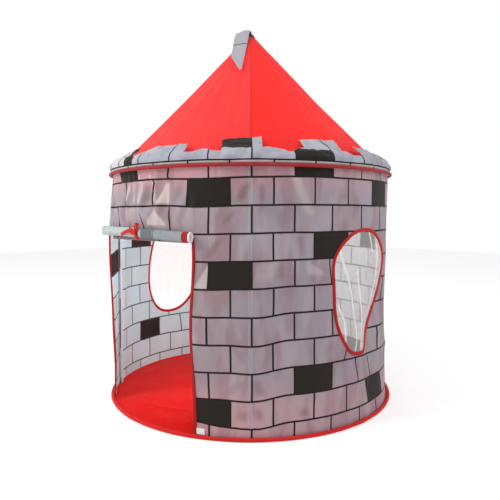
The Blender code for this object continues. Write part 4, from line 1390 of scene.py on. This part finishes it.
def tab_place(across, down):
    """A point and its measures on the pointed tab, which hangs from the peak over the roof's front."""
    top = Vector((TAB_START + TAB_WIDTH * across, 0.0))
    if across < TAB_POINT_SHARE:
        bottom = TAB_INNER_FOOT.lerp(TAB_POINT, across / TAB_POINT_SHARE)
    else:
        bottom = TAB_POINT.lerp(TAB_OUTER_FOOT, (across - TAB_POINT_SHARE) / (1 - TAB_POINT_SHARE))
    sideways, along = top.lerp(bottom, down)
    cone_radius = max(along * math.cos(ROOF_SLOPE), 0.08)
    drape = 0.25 * sideways**2 / cone_radius * math.sin(ROOF_SLOPE) * min(1.0, along / 0.1)
    clear = (TAB_HEIGHT - ROOF_POINT_HEIGHT) * math.cos(ROOF_SLOPE)
    lift = TAB_REST + (clear - TAB_REST) * max(0.0, 1 - along / 0.16) - drape
    lift -= 0.0130 * ramp(0.30, 1.0, across) * ramp(0.35, 0.0, down)
    lift += 0.0022 * math.sin(math.pi * down) * waver(across * 0.05, down * 0.25, 0.045, 11)
    lift += 0.0030 * ramp(0.55, 1.0, down) * (2 * across - 1) ** 2
    run = along - clear * math.tan(ROOF_SLOPE) * (1 - down)
    slope = TAB_FRONT * math.cos(ROOF_SLOPE) - UP * math.sin(ROOF_SLOPE)
    normal = TAB_FRONT * math.sin(ROOF_SLOPE) + UP * math.cos(ROOF_SLOPE)
    return UP * ROOF_POINT_HEIGHT + TAB_DIRECTION * sideways + slope * run + normal * lift, (sideways, along)


def add_tab():
    shares = spread(0.0, TAB_POINT_SHARE, 9)[:-1] + spread(TAB_POINT_SHARE, 1.0, 17)
    rows, columns = spread(1.0, 0.0, 60), shares[::-1]
    cloths = (tab_print, tab_print)
    tab = make_sheet("peak_tab_cloth", rows, columns, tab_place, cloths, thickness=THICK_CLOTH, offset=0.0)
    return dress(tab, "peak_tab", "grey_print", "peak_tab")


# Rolled-up door flap

# Points in each turn of the wound cloth, and metres along from one ring to the next
TURN_STEPS = 40
RING_GAP = 0.006


def roll_line(x):
    """The roll's middle: its left end is pushed up a little higher than its right end."""
    tilt = 0.0062 * ramp(0.12, -0.30, x) - 0.0058 * ramp(0.0, 0.24, x)
    return Vector((x, -ROLL_LINE, ROLL_HEIGHT + tilt + 0.0006 * waver(x, 0.0, 0.06, 15)))


def roll_section(x):
    """The wound cloth round the roll's own line: outer face first, then back along the inner face."""
    outer, inner = [], []
    for step in range(ROLL_TURNS * TURN_STEPS + 1):
        turn = 2 * math.pi * step / TURN_STEPS
        outermost = ramp(2 * math.pi * 1.2, 0.0, turn)
        dent = 0.0007 * waver(x, turn * 0.02, 0.03, 12) - 0.0016 * bell(x, 0.052, 0.006)
        dent = outermost * (dent - 0.0014 * bell(x, RIBBON_X, 0.007))
        radius = ROLL_HALF_HEIGHT - ROLL_PITCH * step / TURN_STEPS + dent
        way = Vector((0.0, ROLL_DEPTH_SHARE * math.cos(turn), math.sin(turn)))
        outer.append(way * radius)
        inner.append(way * (radius - ROLL_CLOTH))
    return outer + inner[::-1]


def add_roll(name, left, right, material, slot, node):
    rings, measures = [], []
    for x in spread(left, right, max(4, int((right - left) / RING_GAP))):
        section = roll_section(x)
        rings.append([roll_line(x) + point for point in section][::-1])
        measures.extend((x, step * 0.003) for step in range(len(section)))
    return dress(make_tube(name, rings, (material,), False, measures), "door_flap", slot, node)


def neighbours(line, index):
    """The points before and after one of a line, or itself at the line's ends."""
    return line[max(index - 1, 0)], line[min(index + 1, len(line) - 1)]


def add_ribbon_strip(name, line, ways, widths, thickness=0.0009):
    """A flat ribbon along a line of points, with a way across and a width at each."""
    rings, measures = [], []
    run = 0.0
    for index, (place, way, width) in enumerate(zip(line, ways, widths)):
        before, after = neighbours(line, index)
        normal = (after - before).normalized().cross(way).normalized() * thickness / 2
        half = way.normalized() * width / 2
        left, right = place - half, place + half
        rings.append([left - normal, right - normal, right + normal, left + normal])
        measures.extend((run, across) for across in (0.0, width, width, 0.0))
        run += (after - place).length
    return dress(make_tube(name, rings, (bow_red,), False, measures), "door_flap", "red_tape", "tie_ribbon")


def curve(points, count):
    """A smooth line through a few points."""
    padded = [points[0]] + list(points) + [points[-1]]
    line = []
    for index in range(1, len(padded) - 2):
        a, b, c, d = padded[index - 1 : index + 3]
        for step in range(count):
            t = step / count
            square, cube = (2 * a - 5 * b + 4 * c - d) * t**2, (3 * b - a - 3 * c + d) * t**3
            line.append(0.5 * (2 * b + (c - a) * t + square + cube))
    line.append(points[-1].copy())
    return line


# The bow's loops and tails: width, then points from the knot, each sideways, outward and up
BOW = {
    "ribbon_long_tail": (0.011, (0, 0, 0), (-0.018, -0.006, 0.005), (-0.046, -0.005, 0.001),
                         (-0.072, -0.002, -0.006), (-0.090, 0.001, -0.012)),
    "ribbon_left_loop": (0.009, (0, 0, 0.001), (-0.010, -0.007, 0.009), (-0.024, -0.006, 0.010),
                         (-0.032, -0.001, 0.002), (-0.022, -0.002, -0.006), (-0.006, -0.003, -0.003)),
    "ribbon_upper_loop": (0.009, (0, 0, 0.002), (0.004, -0.006, 0.013), (0.010, -0.004, 0.024),
                          (0.016, 0.000, 0.025), (0.012, -0.001, 0.013), (0.004, -0.003, 0.004)),
    "ribbon_low_tail": (0.010, (0, 0, -0.002), (0.005, -0.006, -0.010), (0.011, -0.004, -0.020),
                        (0.013, 0.000, -0.027)),
}  # fmt: skip
KNOT_WIDTHS = (0.008, 0.011, 0.013, 0.0135, 0.012, 0.0135, 0.013, 0.011, 0.008)
RIBBON_WIDTH = 0.0125
RIBBON_LIFT = 0.0006
BOW_LEAN = 0.25


def add_ribbon():
    """The ribbon round the roll, tied in front in a bow with two loops and two tails."""
    centre = roll_line(RIBBON_X)
    depth = ROLL_HALF_HEIGHT * ROLL_DEPTH_SHARE
    ring = []
    for turn in spread(0.0, 2 * math.pi, 65):
        out, rise = math.cos(turn) * (depth + RIBBON_LIFT), math.sin(turn) * (ROLL_HALF_HEIGHT + RIBBON_LIFT)
        ring.append(centre + Vector((0.0016 * math.sin(3 * turn), out, rise)))
    ways = [Vector((1.0, 0.0, 0.0))] * len(ring)
    parts = [add_ribbon_strip("ribbon_round_roll", ring, ways, [RIBBON_WIDTH] * len(ring))]
    front = centre + Vector((0.0, -depth - 0.0016, 0.004))
    knot = []
    for share in spread(0.0, 1.0, len(KNOT_WIDTHS)):
        out = -0.0035 * math.sin(math.pi * share) - 0.001
        knot.append(front + Vector((0.0035 * (share - 0.5) * 2, out, 0.008 - 0.016 * share)))
    ways = [Vector((1.0, 0.0, BOW_LEAN))] * len(knot)
    parts.append(add_ribbon_strip("ribbon_knot", knot, ways, KNOT_WIDTHS, 0.004))
    for name, (width, *places) in BOW.items():
        line = curve([front + Vector(place) for place in places], 8)
        pairs = [neighbours(line, index) for index in range(len(line))]
        ways = [(after - before).normalized().cross(Vector((0.0, 1.0, BOW_LEAN))) for before, after in pairs]
        widths = [width * (0.72 + 0.28 * ramp(0.0, 0.4, index / len(line))) for index in range(len(line))]
        parts.append(add_ribbon_strip(name, line, ways, widths))
    return parts


# The curtain's way down behind the roll: outward from the door's plane and up from its head
CURTAIN_LINE = ((0.0, -0.0016), (0.0022, -0.0062), (0.0046, -0.0118), (0.0052, -0.0170), (0.0052, -0.0205))
CURTAIN_MARGIN = 0.004


def curtain_place(x, middle):
    return middle + Vector((x, 0.0008 * waver(x, middle.z * 4, 0.04, 13), 0.0)), (x, middle.z)


def add_curtain():
    """The flap's cloth between the door's head and the roll."""
    half = DOOR_HALF_WIDTH - CURTAIN_MARGIN
    rows = curve([Vector((0.0, -DOOR_LINE - out, DOOR_TOP + rise)) for out, rise in CURTAIN_LINE], 7)[::-1]
    columns = spread(-half, half, 60)
    cloths = (curtain_print, curtain_print)
    curtain = make_sheet("curtain_cloth", rows, columns, curtain_place, cloths, thickness=WALL_CLOTH)
    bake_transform(curtain)
    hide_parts("door_curtain")
    return curtain


# Everything together

KEPT_NODES = {"base_hoop_wire": spring_steel, "eave_hoop_wire": spring_steel, "apex_hub": moulding}
for corner in CORNERS:
    KEPT_NODES["eave_elbow_" + corner] = moulding
    for pole in ("wall_pole_lower_", "wall_pole_upper_", "roof_pole_lower_", "roof_pole_upper_"):
        KEPT_NODES[pole + corner] = fibreglass
for node_name, material in KEPT_NODES.items():
    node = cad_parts[node_name]
    node.data.materials.clear()
    node.data.materials.append(material)

walls = {"front": add_front_wall(), "rear": add_rear_wall()}
for side in ("left", "right"):
    walls[side] = add_window_wall(side)
    add_net(side)
    add_window_edge(side)
door_edges = add_door_edges()
door_edges += [add_jamb_tab("left", -1), add_jamb_tab("right", 1)]
gores = [add_gore(side) for side in SIDES]
add_hoop("base", BASE_HEIGHT, tape_red)
# The eave hoop takes the darker copy of the tape, painted shade.
add_hoop("eave", EAVE_HEIGHT, eave_tape_shaded)
floor = add_floor()
band = add_band()
add_sleeves()
add_cap()
tab = add_tab()
roll_gap = 0.0003
hem_start, strip_start = ROLL_RED_START, ROLL_WHITE_START
roll = add_roll("roll_cloth", ROLL_ENDS[0], hem_start - roll_gap, roll_print, "grey_print", "door_roll")
roll_ends = [
    add_roll("roll_hem_cloth", hem_start, strip_start - roll_gap, jamb_red, "red_tape", "door_roll_hem"),
    add_roll("roll_strip_cloth", strip_start, ROLL_ENDS[1], white_loop, "white_tape", "door_roll_strip"),
]
ribbon = add_ribbon()
curtain = add_curtain()

roll_ends + ribbon

# Stage: a pale floor, soft light and the photo's camera

# The camera as fitted to the photo. It looks down by so many degrees.
CAMERA_PLACE = (1.3924, -1.3924, 0.654)
CAMERA_DOWN = 2.246
CAMERA_BEARING = 45
CAMERA_SHIFT = (-0.0008, -0.0282)
LENS = 36.734

# How bright the sky is as a light, and how much the ground glows where it is seen
SKY = 0.62
FLOOR_GLOW = 0.35
WHITE = (1.0, 1.0, 1.0, 1.0)
PALE = (0.86, 0.86, 0.86, 1.0)


def seen_plainly(tree):
    """1 for what the camera sees straight, mirrored or through something, and 0 for soft light."""
    rays = tree.nodes.new("ShaderNodeLightPath")
    seen = rays.outputs["Is Camera Ray"]
    for other in ("Is Glossy Ray", "Is Transmission Ray"):
        larger = tree.nodes.new("ShaderNodeMath")
        larger.operation = "MAXIMUM"
        tree.links.new(seen, larger.inputs[0])
        tree.links.new(rays.outputs[other], larger.inputs[1])
        seen = larger.outputs[0]
    return seen


def add_ground():
    shading = Shading("studio_floor")
    glow = Value(shading, seen_plainly(shading.tree)) * FLOOR_GLOW
    shading.set(base_color=PALE, roughness=0.9, emission_color=WHITE, emission_strength=glow)
    bpy.ops.mesh.primitive_plane_add(size=16.0, location=(0.0, 0.0, -0.0005))
    ground = bpy.context.object
    ground.name = "studio_floor"
    ground.data.materials.append(shading.material)


def add_sky():
    """White where it is seen, and dimmer as a light."""
    world = bpy.data.worlds.new("studio")
    bpy.context.scene.world = world
    world.use_nodes = True
    tree = world.node_tree
    background = tree.nodes["Background"]
    background.inputs["Color"].default_value = WHITE
    strength = tree.nodes.new("ShaderNodeMapRange")
    tree.links.new(seen_plainly(tree), strength.inputs["Value"])
    strength.inputs["To Min"].default_value = SKY
    strength.inputs["To Max"].default_value = 1.0
    tree.links.new(strength.outputs[0], background.inputs["Strength"])


def add_lamp(name, place, aim, size, power, colour=(1.0, 1.0, 1.0)):
    light = bpy.data.lights.new(name, "AREA")
    light.shape = "DISK"
    light.size = size
    light.energy = power
    light.color = colour
    lamp = bpy.data.objects.new(name, light)
    bpy.context.scene.collection.objects.link(lamp)
    lamp.location = place
    lamp.rotation_euler = (Vector(aim) - Vector(place)).to_track_quat("-Z", "Y").to_euler()
    return lamp


add_ground()
add_sky()
add_lamp("key", (-1.2, -3.0, 2.6), (0.0, 0.0, 0.6), 1.6, 70)
add_lamp("fill", (2.6, 0.6, 3.0), (0.0, 0.0, 0.7), 2.0, 34)
glow = add_lamp("inside_glow", (0.26, -0.16, 0.52), (-0.50, 0.14, 0.42), 0.50, 5.2, (0.80, 1.0, 1.0))
glow.visible_camera = False
roof_glow = add_lamp("roof_glow", (0.05, -0.05, 0.84), (0.10, -0.10, 1.3), 0.5, 2.0)
roof_glow.visible_camera = False

camera_data = bpy.data.cameras.new("camera")
camera_data.sensor_width = 36.0
camera_data.lens = LENS
camera_data.shift_x, camera_data.shift_y = CAMERA_SHIFT
camera = bpy.data.objects.new("camera", camera_data)
bpy.context.scene.collection.objects.link(camera)
camera.location = CAMERA_PLACE
camera.rotation_euler = (math.radians(90 - CAMERA_DOWN), 0.0, math.radians(CAMERA_BEARING))
bpy.context.scene.camera = camera

bpy.context.scene.view_settings.view_transform = "Standard"
